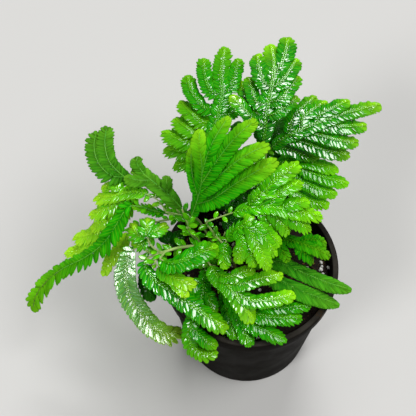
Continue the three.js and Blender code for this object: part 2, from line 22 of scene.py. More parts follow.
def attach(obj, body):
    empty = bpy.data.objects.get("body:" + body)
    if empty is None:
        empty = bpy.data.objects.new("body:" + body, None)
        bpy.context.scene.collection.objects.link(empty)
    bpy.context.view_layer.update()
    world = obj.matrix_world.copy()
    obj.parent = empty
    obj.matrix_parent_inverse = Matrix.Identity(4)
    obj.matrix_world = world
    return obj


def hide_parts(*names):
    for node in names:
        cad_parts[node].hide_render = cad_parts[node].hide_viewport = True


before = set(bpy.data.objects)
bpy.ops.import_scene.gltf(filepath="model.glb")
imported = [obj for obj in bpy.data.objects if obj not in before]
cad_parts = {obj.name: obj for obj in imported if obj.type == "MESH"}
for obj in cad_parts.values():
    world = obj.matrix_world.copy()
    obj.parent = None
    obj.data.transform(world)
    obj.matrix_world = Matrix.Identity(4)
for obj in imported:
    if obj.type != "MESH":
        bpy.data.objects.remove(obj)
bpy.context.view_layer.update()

log = logging.getLogger("spikemoss")

METRES = 0.001
BODY = "root"
SKYWARD = Vector((0.0, 0.0, 1.0))
RIGHTWARD = Vector((1.0, 0.0, 0.0))
NOISE_SEED = 1  # Blender's vector noise otherwise starts from the clock.

PixelPoint = tuple[float, float, float]
Colour = tuple[float, float, float, float]
Range = tuple[float, float]


# Where things are


@dataclass(frozen=True)
class Sight:
    """The photograph's view of the plant.

    Attributes:
        aim: Point that the middle of the picture shows, in mm.
        distance: Distance from the camera to that point, in mm.
        elevation: Angle of the view above the horizon, in degrees.
        focal_pixels: Focal length, in pixels of the photograph.
        picture_pixels: Width and height of the photograph.
    """

    aim: tuple[float, float, float] = (-13.15, 19.95, 48.0)
    distance: float = 321.0
    elevation: float = 60.4
    focal_pixels: float = 1000.0
    picture_pixels: float = 416.0

    def forward(self) -> Vector:
        """Return the direction in which the camera looks."""
        angle = math.radians(self.elevation)
        return Vector((0.0, math.cos(angle), -math.sin(angle)))

    def upward(self) -> Vector:
        """Return the direction that is up in the picture."""
        angle = math.radians(self.elevation)
        return Vector((0.0, math.sin(angle), math.cos(angle)))

    def eye(self) -> Vector:
        """Return the camera's place in mm."""
        return Vector(self.aim) - self.distance * self.forward()

    def seen(self, point: PixelPoint) -> Vector:
        """Return the point at a height on the sight line through a pixel.

        Args:
            point: Pixels from the left, pixels from the top, and height in mm.

        Returns:
            The place in mm.
        """
        across, down, height = point
        middle = self.picture_pixels / 2
        ray = (
            self.forward()
            + RIGHTWARD * ((across - middle) / self.focal_pixels)
            + self.upward() * ((middle - down) / self.focal_pixels)
        )
        eye = self.eye()
        return eye + ray * ((height - eye.z) / ray.z)


SIGHT = Sight()


class Course:
    """A smooth line through space, measured along its own length in mm."""

    def __init__(self, points: Sequence[Vector]) -> None:
        """Measure the line.

        Args:
            points: Points close together along the line.
        """
        self.points = [Vector(point) for point in points]
        self.marks = [0.0]
        for before, after in zip(self.points, self.points[1:]):
            self.marks.append(self.marks[-1] + (after - before).length)
        self.length = self.marks[-1]

    @classmethod
    def through(cls, knots: Sequence[Vector], pieces: int = 14) -> "Course":
        """Make the smooth line through a few points, with even tension.

        Args:
            knots: The points to run through.
            pieces: Number of short straight pieces between two knots.

        Returns:
            The line.
        """
        first = knots[0] * 2 - knots[1]
        last = knots[-1] * 2 - knots[-2]
        around = [first, *knots, last]
        points = [knots[0].copy()]
        for before, start, end, after in zip(around, around[1:], around[2:], around[3:]):
            span = math.sqrt((end - start).length)
            span_before = math.sqrt((start - before).length)
            span_after = math.sqrt((after - end).length)
            leave = cls._slope(before, start, end, span_before, span) * span
            arrive = cls._slope(start, end, after, span, span_after) * span
            for piece in range(1, pieces + 1):
                t = piece / pieces
                bend = -3 * start + 3 * end - 2 * leave - arrive
                twist = 2 * start - 2 * end + leave + arrive
                points.append(start + leave * t + bend * t**2 + twist * t**3)
        return cls(points)

    @staticmethod
    def _slope(before: Vector, here: Vector, after: Vector, back: float, on: float) -> Vector:
        """Return the slope of an evenly tensed line at its middle knot.

        Args:
            before: The knot before.
            here: The knot itself.
            after: The knot after.
            back: Span from the knot before.
            on: Span to the knot after.

        Returns:
            The slope per unit of span.
        """
        return (here - before) / back - (after - before) / (back + on) + (after - here) / on

    @classmethod
    def bend(cls, start: Vector, knee: Vector, end: Vector, pieces: int = 16) -> "Course":
        """Make the line from start to end that a knee point pulls towards itself.

        Args:
            start: First point.
            knee: Point that both ends aim at.
            end: Last point.
            pieces: Number of short straight pieces.

        Returns:
            The line.
        """
        points = []
        for piece in range(pieces + 1):
            t = piece / pieces
            points.append(start * (1 - t) ** 2 + knee * (2 * t * (1 - t)) + end * t**2)
        return cls(points)

    def _piece(self, at: float) -> tuple[int, float]:
        """Find the short piece at a length along the line.

        Args:
            at: The length in mm.

        Returns:
            The number of the piece, and the share of it that lies before that length.
        """
        at = min(max(at, 0.0), self.length)
        low, high = 0, len(self.marks) - 1
        while high - low > 1:
            middle = (low + high) // 2
            if self.marks[middle] <= at:
                low = middle
            else:
                high = middle
        span = self.marks[low + 1] - self.marks[low]
        return low, (at - self.marks[low]) / span if span > 0 else 0.0

    def shortened(self, by: float, pieces: int = 24) -> "Course":
        """Return the line without its last few mm.

        Args:
            by: Length to leave out in mm.
            pieces: Number of short straight pieces.

        Returns:
            The shorter line.
        """
        length = self.length - by
        return Course([self.point(length * piece / pieces) for piece in range(pieces + 1)])

    def point(self, at: float) -> Vector:
        """Return the point at a length along the line, in mm."""
        piece, share = self._piece(at)
        return self.points[piece].lerp(self.points[piece + 1], share)

    def along(self, at: float) -> Vector:
        """Return the direction of the line at a length along it.

        Args:
            at: The length in mm.

        Returns:
            The direction.
        """
        near = 0.02 * self.length
        ahead = self.point(min(at + near, self.length))
        behind = self.point(max(at - near, 0.0))
        return (ahead - behind).normalized()


@dataclass(frozen=True)
class Facing:
    """Directions at a place on a branch: onwards, out of its flat side, and sideways."""

    along: Vector
    up: Vector
    side: Vector

    @classmethod
    def flat(cls, along: Vector) -> "Facing":
        """Return the directions of a branch whose flat side faces up."""
        up = (SKYWARD - along * along.z).normalized()
        return cls(along, up, along.cross(up))


# Making meshes


def smoothed(bm: bmesh.types.BMesh) -> None:
    """Let all faces of a mesh be shaded as one smooth surface."""
    for face in bm.faces:
        face.smooth = True


def stored(name: str, bm: bmesh.types.BMesh) -> Mesh:
    """Store a mesh that is done.

    Args:
        name: Its name.
        bm: The mesh, which is used up.

    Returns:
        The stored mesh.
    """
    mesh = bpy.data.meshes.new(name)
    bm.to_mesh(mesh)
    bm.free()
    return mesh


def shown(name: str, data: bpy.types.ID) -> Object:
    """Put a mesh, a light or a camera into the scene.

    Args:
        name: Name of its object.
        data: The mesh, light or camera.

    Returns:
        The object.
    """
    item = bpy.data.objects.new(name, data)
    bpy.context.scene.collection.objects.link(item)
    return item


def finished(
    name: str, bm: bmesh.types.BMesh, finishes: Sequence[Material]
) -> Object:
    """Turn a mesh in millimetres into a piece that rides on the plant's body.

    Args:
        name: Name of the piece.
        bm: The mesh, which is used up.
        finishes: Its materials, in the order of its faces' material numbers.

    Returns:
        The piece.
    """
    bmesh.ops.scale(bm, vec=(METRES, METRES, METRES), verts=bm.verts)
    mesh = stored(name, bm)
    for finish in finishes:
        mesh.materials.append(finish)
    piece = shown(name, mesh)
    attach(piece, BODY)
    log.info("%s: %d faces", name, len(mesh.polygons))
    return piece


def draw_tube(
    bm: bmesh.types.BMesh,
    course: Course,
    radius: Callable[[float], float],
    sides: int,
    step: float,
    finish: int = 0,
) -> None:
    """Draw a round closed tube out along a line.

    Args:
        bm: Mesh that the tube is added to.
        course: Line that it follows.
        radius: Its radius in mm at a share of its length.
        sides: Number of sides of its section.
        step: Distance between two sections in mm.
        finish: Material number of its faces.
    """
    count = max(2, math.ceil(course.length / step))
    along = course.along(0.0)
    turn = SKYWARD.rotation_difference(along).to_matrix().to_4x4()
    place = Matrix.Translation(course.point(0.0)) @ turn
    ring = bmesh.ops.create_circle(bm, segments=sides, radius=radius(0.0), matrix=place)["verts"]
    edges = list(dict.fromkeys(edge for vert in ring for edge in vert.link_edges))
    made = list(bmesh.ops.contextual_create(bm, geom=edges)["faces"])
    for number in range(1, count + 1):
        before = course.point(course.length * (number - 1) / count)
        here = course.point(course.length * number / count)
        onward = course.along(course.length * number / count)
        swing = along.rotation_difference(onward).to_matrix()
        grow = radius(number / count) / radius((number - 1) / count)
        extruded = bmesh.ops.extrude_edge_only(bm, edges=edges)["geom"]
        verts = [item for item in extruded if isinstance(item, bmesh.types.BMVert)]
        made += [item for item in extruded if isinstance(item, bmesh.types.BMFace)]
        edges = [
            item
            for item in extruded
            if isinstance(item, bmesh.types.BMEdge) and all(vert in verts for vert in item.verts)
        ]
        for vert in verts:
            vert.co = here + swing @ (vert.co - before) * grow
        along = onward
    made += bmesh.ops.contextual_create(bm, geom=edges)["faces"]
    for face in made:
        face.smooth = True
        face.material_index = finish
    bmesh.ops.recalc_face_normals(bm, faces=made)


# Finishes


class Painter:
    """Puts together the nodes of one material."""

    def __init__(self, name: str) -> None:
        """Start a material with one shader.

        Args:
            name: Name of the material.
        """
        self.material = bpy.data.materials.new(name)
        self.material.use_nodes = True
        self.tree = self.material.node_tree
        self.shader = self.tree.nodes["Principled BSDF"]

    def node(self, kind: str, **sockets: object) -> bpy.types.Node:
        """Add a node.

        Args:
            kind: Blender's name of the node type.
            sockets: Values or outputs for its inputs, by the input's name in small letters
                with underscores for spaces.

        Returns:
            The node.
        """
        node = self.tree.nodes.new(kind)
        for name, value in sockets.items():
            self.feed(node.inputs[name.replace("_", " ").title()], value)
        return node

    def feed(self, socket: NodeSocket, value: object) -> None:
        """Set an input to a value, or link an output to it.

        Args:
            socket: The input.
            value: The value or output.
        """
        if isinstance(value, NodeSocket):
            self.tree.links.new(value, socket)
        else:
            socket.default_value = value

    def place(self) -> NodeSocket:
        """Return the place on the piece, in metres."""
        return self.tree.nodes.new("ShaderNodeTexCoord").outputs["Object"]

    def facing(self, direction: Vector) -> NodeSocket:
        """Return how squarely the surface faces a direction.

        Args:
            direction: The direction, in the piece's own space.

        Returns:
            A number from -1 to 1.
        """
        node = self.tree.nodes.new("ShaderNodeVectorMath")
        node.operation = "DOT_PRODUCT"
        self.feed(node.inputs[0], self.tree.nodes.new("ShaderNodeTexCoord").outputs["Normal"])
        self.feed(node.inputs[1], direction)
        return node.outputs["Value"]

    def attribute(self, name: str) -> NodeSocket:
        """Return a number that the mesh carries.

        Args:
            name: Name of the number.

        Returns:
            The number.
        """
        node = self.tree.nodes.new("ShaderNodeAttribute")
        node.attribute_name = name
        return node.outputs["Fac"]

    def noise(
        self, scale: float, detail: float = 3.0, roughness: float = 0.5
    ) -> NodeSocket:
        """Return a cloudy pattern from 0 to 1.

        Args:
            scale: Number of clouds to a metre.
            detail: Number of finer layers.
            roughness: Strength of the finer layers.

        Returns:
            The pattern.
        """
        node = self.node("ShaderNodeTexNoise", scale=scale, detail=detail, roughness=roughness)
        self.feed(node.inputs["Vector"], self.place())
        return node.outputs["Fac"]

    def math(
        self, operation: str, first: object, second: object = 0.0, clamp: bool = False
    ) -> NodeSocket:
        """Return the result of a sum.

        Args:
            operation: Blender's name of the operation.
            first: First number or output.
            second: Second number or output.
            clamp: Whether the result stays between 0 and 1.

        Returns:
            The result.
        """
        node = self.tree.nodes.new("ShaderNodeMath")
        node.operation = operation
        node.use_clamp = clamp
        self.feed(node.inputs[0], first)
        self.feed(node.inputs[1], second)
        return node.outputs[0]

    def spread(
        self, value: object, given: Range, wanted: Range = (0.0, 1.0)
    ) -> NodeSocket:
        """Return a number stretched from one range to another, and held inside it.

        Args:
            value: The number.
            given: Start and end of the range that it comes from.
            wanted: Results at that start and that end.

        Returns:
            The result.
        """
        node = self.tree.nodes.new("ShaderNodeMapRange")
        node.interpolation_type = "SMOOTHSTEP"
        for index, number in enumerate((value, *given, *wanted)):
            self.feed(node.inputs[index], number)
        return node.outputs[0]

    def mixed(
        self, share: object, first: object, second: object, way: str = "MIX"
    ) -> NodeSocket:
        """Return a mix of two colours.

        Args:
            share: Share of the second colour.
            first: First colour or output.
            second: Second colour or output.
            way: Blender's name of the way of mixing.

        Returns:
            The colour.
        """
        node = self.tree.nodes.new("ShaderNodeMix")
        node.data_type = "RGBA"
        node.blend_type = way
        self.feed(node.inputs[0], share)
        self.feed(node.inputs[6], first)
        self.feed(node.inputs[7], second)
        return node.outputs[2]

    def bump(self, height: object, distance: float, layer: str = "Normal") -> None:
        """Let a layer of the shader follow a height.

        Args:
            height: The height, from 0 to 1.
            distance: Depth of the relief in metres.
            layer: The shader's input for that layer.
        """
        node = self.node("ShaderNodeBump", height=height, distance=distance, strength=1.0)
        self.feed(self.shader.inputs[layer], node.outputs["Normal"])

    def set(self, **sockets: object) -> None:
        """Set or link inputs of the shader.

        Args:
            sockets: Values or outputs for its inputs, by name as in `node`.
        """
        names = {key.lower(): key for key in self.shader.inputs.keys()}
        for name, value in sockets.items():
            self.feed(self.shader.inputs[names[name.replace("_", " ")]], value)


def colour(red: float, green: float, blue: float) -> Colour:
    """Return an opaque colour from its red, green and blue light."""
    return (red, green, blue, 1.0)


@dataclass(frozen=True)
class LeafFinish:
    """The surface of one kind of leaf.

    The last fields draw the pattern that all leaves share. Patches, ripples and beads are
    counted to a metre, places are shares of the leaf's length or width, and each pair says
    where a part starts and where it is full.

    Attributes:
        name: Name of the material.
        shaded_foot: Colour at the foot of a leaf that is not young, darker where its neighbours
            overlap it: painted shade.
        green: Colour over most of the leaf.
        lime: Colour of young leaves and of tips.
        margin_and_edge_light: How pale the leaf's margin is, from 0 to 1: partly the margin's own
            paler colour, partly painted edge light.
        roughness: How dull the leaf itself is.
        shine: Strength of its own reflections.
        ripple: Depth of the leaf's fine ripples in mm.
        film: Strength of the wet film, which lies where the leaf faces `FILM_SIDE`.
        film_roughness: How dull that film is.
        film_index: How strongly that film bends light.
        film_ripple: Depth of the film's own unevenness in mm.
        film_edge: How squarely the leaf faces `FILM_SIDE` where the film starts, and
            where it is full.
        brightness: Brightness of the darkest and of the brightest leaves.
    """

    name: str
    shaded_foot: Colour
    green: Colour
    lime: Colour
    margin_and_edge_light: float
    roughness: float
    shine: float
    ripple: float
    film: float = 0.0
    film_roughness: float = 0.3
    film_index: float = 1.4
    film_ripple: float = 0.0
    film_edge: Range = (0.66, 0.82)
    brightness: Range = (0.72, 1.22)
    leaf_index: float = 1.25
    patches: float = 420.0
    patch_middle: float = 0.55
    patch_youth: float = 0.3
    foot: Range = (0.0, 0.5)
    tip: Range = (0.35, 1.0)
    tip_youth: float = 0.55
    # Where the pale margin, partly painted edge light, starts and where it is full.
    rim: Range = (0.38, 0.48)
    rib: Range = (0.1, 0.03)
    rib_lime: float = 0.3
    rib_depth: float = 0.5
    veins: float = 3.2
    vein_bend: float = 1.5
    vein_relief: float = 0.35
    vein_film: float = 0.15
    ripples: float = 900.0
    ripple_middle: Range = (0.3, 0.7)
    ripple_dull: float = 0.15
    beads: float = 2000.0

    def material(self) -> Material:
        """Put the material together.

        Returns:
            The material.
        """
        paint = Painter(self.name)
        chart = paint.tree.nodes.new("ShaderNodeUVMap")
        chart.uv_map = LEAF_CHART
        split = paint.node("ShaderNodeSeparateXYZ", vector=chart.outputs["UV"])
        across, along = split.outputs["X"], split.outputs["Y"]
        young = paint.attribute(YOUNG)
        off_rib = paint.math("ABSOLUTE", paint.math("SUBTRACT", across, 0.5))

        tip = paint.math("MULTIPLY", young, self.tip_youth)
        tip = paint.math("MULTIPLY", paint.spread(along, self.tip), tip)
        patch = paint.math("SUBTRACT", paint.noise(self.patches, detail=2.0), self.patch_middle)
        # The pale margin is partly the leaf's own paler edge and partly painted edge light.
        rim = paint.math("MULTIPLY", paint.spread(off_rib, self.rim), self.margin_and_edge_light)
        ripe = paint.math("ADD", young, tip)
        ripe = paint.math("ADD", ripe, paint.math("MULTIPLY", patch, self.patch_youth))
        ripe = paint.math("ADD", ripe, rim, clamp=True)
        rib = paint.spread(off_rib, self.rib)
        # The leaf darkens towards its foot, where its neighbours overlap it: painted shade.
        leaf = paint.mixed(paint.spread(along, self.foot), self.shaded_foot, self.green)
        leaf = paint.mixed(ripe, leaf, self.lime)
        leaf = paint.mixed(paint.math("MULTIPLY", rib, self.rib_lime), leaf, self.lime)
        # The tint carries the spray's painted light as well as each leaf's random tone, and it
        # scales the leaf's colour.
        brightness = paint.spread(paint.attribute(TINT), (0.0, 1.0), self.brightness)
        shade = paint.node("ShaderNodeCombineColor")
        for channel in range(3):
            paint.feed(shade.inputs[channel], brightness)
        leaf = paint.mixed(1.0, leaf, shade.outputs[0], way="MULTIPLY")

        wave = paint.node(
            "ShaderNodeTexWave", scale=self.veins, distortion=self.vein_bend, detail=1.0
        )
        paint.feed(wave.inputs["Vector"], chart.outputs["UV"])
        veins = wave.outputs["Fac"]
        ripples = paint.noise(self.ripples, detail=2.0)
        relief = paint.math("ADD", paint.math("MULTIPLY", veins, self.vein_relief), ripples)
        relief = paint.math("SUBTRACT", relief, paint.math("MULTIPLY", rib, self.rib_depth))
        paint.bump(relief, self.ripple * METRES)
        beads = paint.noise(self.beads, detail=1.0)
        wet = paint.math("ADD", beads, paint.math("MULTIPLY", veins, self.vein_film))
        paint.bump(wet, self.film_ripple * METRES, layer="Coat Normal")
        dull = (self.roughness * (1 - self.ripple_dull), self.roughness * (1 + self.ripple_dull))
        film = paint.spread(paint.facing(FILM_SIDE), self.film_edge, (0.0, self.film))
        paint.set(
            base_color=leaf,
            roughness=paint.spread(ripples, self.ripple_middle, dull),
            specular_ior_level=self.shine,
            ior=self.leaf_index,
            coat_weight=film if self.film else 0.0,
            coat_roughness=self.film_roughness,
            coat_ior=self.film_index,
        )
        return paint.material


# Side that the film's glints look to: up, and a little towards the camera.
FILM_SIDE = Vector((0.0, -0.35, 0.94))

# Names of the leaf's chart and of the numbers that a mesh carries.
LEAF_CHART = "leaf"
YOUNG = "young"
TINT = "tint"

WET_LEAF = LeafFinish(
    name="wet_leaf", shaded_foot=colour(0.002, 0.13, 0.001), green=colour(0.006, 0.32, 0.001),
    lime=colour(0.3, 0.76, 0.008), margin_and_edge_light=0.3, roughness=0.5, shine=0.05, ripple=0.02, film=1.0,
    film_roughness=0.08, film_index=2.1, film_ripple=0.02,
)
# The soaked leaf's green and lime are paler than the wet leaf's: a painted sheen over the parts
# that the film's reflections miss.
SOAKED_SHEEN_LEAF = LeafFinish(
    name="soaked_leaf", shaded_foot=colour(0.006, 0.12, 0.004), green=colour(0.08, 0.39, 0.035),
    lime=colour(0.4, 0.76, 0.03), margin_and_edge_light=0.6, roughness=0.35, shine=0.4, ripple=0.06, film=1.0,
    film_roughness=0.16, film_index=3.6, film_ripple=0.09,
)
FRESH_LEAF = LeafFinish(
    name="fresh_leaf", shaded_foot=colour(0.002, 0.2, 0.001), green=colour(0.015, 0.43, 0.001),
    lime=colour(0.28, 0.84, 0.008), margin_and_edge_light=0.55, roughness=0.6, shine=0.05, ripple=0.025, film=1.0,
    film_roughness=0.05, film_index=1.6, film_ripple=0.017,
)
# The pale leaf is partly young lime growth and partly painted light: its colours are set bright for
# sprays that the lamps reach less.
PALE_LEAF = LeafFinish(
    name="pale_leaf", shaded_foot=colour(0.008, 0.24, 0.001), green=colour(0.035, 0.45, 0.002),
    lime=colour(0.4, 0.84, 0.015), margin_and_edge_light=0.6, roughness=0.55, shine=0.1, ripple=0.05, film=1.0,
    film_roughness=0.07, film_index=1.65, film_ripple=0.022,
)
MATTE_LEAF = LeafFinish(
    name="matte_leaf", shaded_foot=colour(0.004, 0.2, 0.001), green=colour(0.018, 0.38, 0.002),
    lime=colour(0.24, 0.63, 0.01), margin_and_edge_light=0.2, roughness=0.65, shine=0.05, ripple=0.03,
)
DULL_LEAF = LeafFinish(
    name="dull_leaf", shaded_foot=colour(0.01, 0.13, 0.003), green=colour(0.03, 0.25, 0.006),
    lime=colour(0.17, 0.46, 0.02), margin_and_edge_light=0.3, roughness=0.7, shine=0.1, ripple=0.03,
)
# Dark leaves of the low sprays under the crown: their darkness is painted shade.
PAINTED_SHADE_LEAF = LeafFinish(
    name="old_leaf", shaded_foot=colour(0.002, 0.045, 0.001), green=colour(0.003, 0.085, 0.001),
    lime=colour(0.02, 0.16, 0.002), margin_and_edge_light=0.1, roughness=0.6, shine=0.1, ripple=0.04, film=0.5,
    film_roughness=0.12, film_index=1.4, film_ripple=0.04,
)


@dataclass(frozen=True)
class StemFinish:
    """The surface of the stems: pale yellow-green, browner at the foot.

    Heights and the relief are in mm, and patches and grains are counted to a metre.
    """

    name: str = "stem"
    pale: Colour = colour(0.5, 0.64, 0.22)
    green: Colour = colour(0.24, 0.46, 0.06)
    brown: Colour = colour(0.1, 0.055, 0.02)
    brown_below: float = 46.0
    brown_over: float = 5.0
    brown_share: float = 0.8
    patches: float = 260.0
    patch_middle: Range = (0.35, 0.7)
    grain: float = 1500.0
    relief: float = 0.05

    def material(self) -> Material:
        """Put the material together.

        Returns:
            The material.
        """
        paint = Painter(self.name)
        height = paint.node("ShaderNodeSeparateXYZ", vector=paint.place()).outputs["Z"]
        fade = ((self.brown_below + self.brown_over) * METRES, self.brown_below * METRES)
        foot = paint.math("MULTIPLY", paint.spread(height, fade), self.brown_share)
        patch = paint.spread(paint.noise(self.patches), self.patch_middle)
        skin = paint.mixed(foot, paint.mixed(patch, self.pale, self.green), self.brown)
        paint.bump(paint.noise(self.grain), self.relief * METRES)
        paint.set(base_color=skin, roughness=0.5, coat_weight=0.15, coat_roughness=0.25)
        return paint.material


STALK = StemFinish()
RIB = StemFinish(name="rib", pale=colour(0.14, 0.5, 0.02), green=colour(0.05, 0.4, 0.008))


@dataclass(frozen=True)
class PotFinish:
    """The pot's near-black plastic, with handling scuffs, dust and splashes of compost.

    Clouds, specks and grains are counted to a metre, and heights are in mm. Pairs named
    edge say where a pattern starts and is full, and pairs named dust how dusty it is there.

    Attributes:
        name: Name of the material.
        plastic: Colour of the clean plastic.
        dust: Colour of dry dust.
        soil: Colour of dried compost.
        splashes: Places where compost has dried on, each [x, y, z, reach] in mm.
    """

    name: str = "pot_plastic"
    plastic: Colour = colour(0.0075, 0.0064, 0.0047)
    dust: Colour = colour(0.11, 0.1, 0.085)
    soil: Colour = colour(0.05, 0.032, 0.018)
    splashes: tuple[tuple[float, float, float, float], ...] = (
        (20.0, -16.0, 46.0, 5.0),
        (25.0, -8.0, 47.0, 4.0),
        (-3.0, -24.0, 6.0, 4.5),
    )
    splash_core: float = 0.3
    splash_edge: Range = (0.36, 0.5)
    clouds: float = 90.0
    cloud_edge: Range = (0.5, 0.8)
    cloud_dust: Range = (0.0, 0.05)
    specks: float = 1400.0
    speck_edge: Range = (0.66, 0.74)
    speck_dust: Range = (0.0, 0.3)
    worn: Range = (47.4, 48.0)
    worn_edge: Range = (0.3, 0.7)
    worn_dust: Range = (0.08, 0.4)
    grain: float = 5200.0
    relief: float = 0.03
    cloud_relief: float = 0.5
    dull_edge: Range = (0.3, 0.75)
    roughness: Range = (0.42, 0.6)

    def material(self) -> Material:
        """Put the material together.

        Returns:
            The material.
        """
        paint = Painter(self.name)
        place = paint.place()
        height = paint.node("ShaderNodeSeparateXYZ", vector=place).outputs["Z"]
        specks = paint.noise(self.specks, detail=4.0, roughness=0.7)
        clouds = paint.noise(self.clouds, detail=4.0, roughness=0.6)
        rim = paint.spread(height, (self.worn[0] * METRES, self.worn[1] * METRES))
        dusty = (
            paint.spread(clouds, self.cloud_edge, self.cloud_dust),
            paint.spread(specks, self.speck_edge, self.speck_dust),
            paint.math("MULTIPLY", rim, paint.spread(clouds, self.worn_edge, self.worn_dust)),
        )
        skin: object = self.plastic
        for share in dusty:
            skin = paint.mixed(share, skin, self.dust)
        for x, y, z, reach in self.splashes:
            away = paint.node("ShaderNodeVectorMath")
            away.operation = "DISTANCE"
            paint.feed(away.inputs[0], place)
            away.inputs[1].default_value = (x * METRES, y * METRES, z * METRES)
            fade = (reach * METRES, self.splash_core * reach * METRES)
            near = paint.math("MULTIPLY", paint.spread(away.outputs["Value"], fade), specks)
            skin = paint.mixed(paint.spread(near, self.splash_edge), skin, self.soil)
        cloudy = paint.math("MULTIPLY", clouds, self.cloud_relief)
        relief = paint.math("ADD", paint.noise(self.grain, detail=2.0), cloudy)
        paint.bump(relief, self.relief * METRES)
        paint.set(
            base_color=skin,
            roughness=paint.spread(clouds, self.dull_edge, self.roughness),
            specular_ior_level=0.15,
            ior=1.1,
        )
        return paint.material


@dataclass(frozen=True)
class EarthFinish:
    """A dark crumbly surface that changes between two colours.

    Attributes:
        name: Name of the material.
        dark: Its main colour.
        light: Colour of its paler grains.
        grains: Number of grains to a metre.
        pale_share: How much of it is pale, from 0 to 1.
        roughness: How dull it is.
        relief: Depth of its grain in mm.
        tint_share: How much a grain's own tint counts beside the pattern.
        edge: Where the pale grains start if none of it is pale.
        edge_drop: How much lower they start if all of it is pale.
        blur: How softly they start.
    """

    name: str
    dark: Colour
    light: Colour
    grains: float
    pale_share: float
    roughness: float
    relief: float
    tint_share: float = 0.4
    edge: float = 1.15
    edge_drop: float = 0.7
    blur: float = 0.15

    def material(self) -> Material:
        """Put the material together.

        Returns:
            The material.
        """
        paint = Painter(self.name)
        grain = paint.noise(self.grains, detail=5.0, roughness=0.7)
        tint = paint.math("MULTIPLY", paint.attribute(TINT), self.tint_share)
        edge = self.edge - self.pale_share * self.edge_drop
        pale = paint.spread(paint.math("ADD", grain, tint), (edge - self.blur, edge + self.blur))
        skin = paint.mixed(pale, self.dark, self.light)
        paint.bump(paint.noise(self.grains * 2.0, detail=4.0), self.relief * METRES)
        paint.set(base_color=skin, roughness=self.roughness, specular_ior_level=0.3)
        return paint.material


COMPOST_BED = EarthFinish(
    name="compost_bed", dark=colour(0.012, 0.007, 0.004), light=colour(0.09, 0.04, 0.015),
    grains=900.0, pale_share=0.4, roughness=0.9, relief=0.25,
)
COMPOST_CRUMB = EarthFinish(
    name="compost_crumb", dark=colour(0.02, 0.011, 0.006), light=colour(0.15, 0.065, 0.022),
    grains=700.0, pale_share=0.5, roughness=0.85, relief=0.15,
)
PERLITE = EarthFinish(
    name="perlite", dark=colour(0.42, 0.4, 0.36), light=colour(0.8, 0.79, 0.75), grains=1200.0,
    pale_share=0.8, roughness=0.7, relief=0.12,
)
FIBRE = EarthFinish(
    name="fibre", dark=colour(0.06, 0.028, 0.01), light=colour(0.22, 0.11, 0.04), grains=500.0,
    pale_share=0.6, roughness=0.8, relief=0.05,
)
FLOOR_PAPER = EarthFinish(
    name="floor_paper", dark=colour(0.59, 0.585, 0.57), light=colour(0.63, 0.625, 0.61), grains=6.0,
    pale_share=0.5, roughness=0.8, relief=0.05,
)


# Leaves


@dataclass(frozen=True)
class LeafPattern:
    """One leaf, a unit long and a unit wide, that the plant's leaves are scaled from.

    Attributes:
        sides: Number of corners of its cross-section.
        rings: Number of bands from its foot to its tip.
        widest: Share of its length where it is widest.
        foot: Width at its foot, as a share of the greatest.
        blunt: How blunt its tip is, from 0, a point, to 1, round.
        cup: How far its middle stands above its edges.
        groove: Depth of the rib's groove.
        curl: How far its tip bends down.
        thickness: Its thickness.
    """

    sides: int = 8
    rings: int = 5
    widest: float = 0.45
    foot: float = 0.5
    blunt: float = 0.6
    cup: float = 0.06
    groove: float = 0.03
    curl: float = 0.08
    thickness: float = 0.04

    def half_width(self, along: float) -> float:
        """Return half the leaf's width at a place along it.

        Args:
            along: Share of its length.

        Returns:
            Half its width there.
        """
        if along < self.widest:
            swell = math.sin(0.5 * math.pi * along / self.widest)
            return 0.5 * (self.foot + (1 - self.foot) * swell)
        past = (along - self.widest) / (1 - self.widest)
        return 0.5 * max(0.0, 1 - past**2) ** (1 - 0.5 * self.blunt)

    def mesh(self, name: str) -> Mesh:
        """Make the leaf from a ball that is drawn out, flattened and curved.

        Args:
            name: Name of the mesh.

        Returns:
            The mesh, with its foot at the origin, its tip along +Y and its face up.
        """
        bm = bmesh.new()
        bmesh.ops.create_uvsphere(bm, u_segments=self.sides, v_segments=self.rings, radius=1.0)
        chart = bm.loops.layers.uv.new(LEAF_CHART)
        places = {}
        for vert in bm.verts:
            along = 0.5 * (1 - vert.co.z)
            ring = math.hypot(vert.co.x, vert.co.y)
            is_pole = ring <= POLE
            across = 0.0 if is_pole else vert.co.x / ring
            over = 0.0 if is_pole else vert.co.y / ring
            half = 0.0 if is_pole else self.half_width(along)
            arch = self.cup * (1 - across**2) - self.groove * (1 - abs(across)) ** 2
            lift = arch * (half / 0.5) - self.curl * along**2
            places[vert] = (0.5 + 0.5 * across, along)
            thick = 0.5 * self.thickness * over * min(1.0, ring * 2)
            vert.co = Vector((across * half, along, lift + thick))
        smoothed(bm)
        for face in bm.faces:
            for loop in face.loops:
                loop[chart].uv = places[loop.vert]
        bmesh.ops.recalc_face_normals(bm, faces=bm.faces)
        return stored(name, bm)


# Radius of a ball's ring below which it is taken as the ball's end.
POLE = 0.01


@dataclass(frozen=True)
class Habit:
    """The way that the broad leaves of a spray grow.

    Attributes:
        patterns: The leaf shapes that it has.
        droop: Angle by which the leaves hang, in degrees.
        shingle: Turn of each leaf over the next one, in degrees.
        twist: Spread of that turn, in degrees.
    """

    patterns: tuple[LeafPattern, ...]
    droop: float
    shingle: float
    twist: float


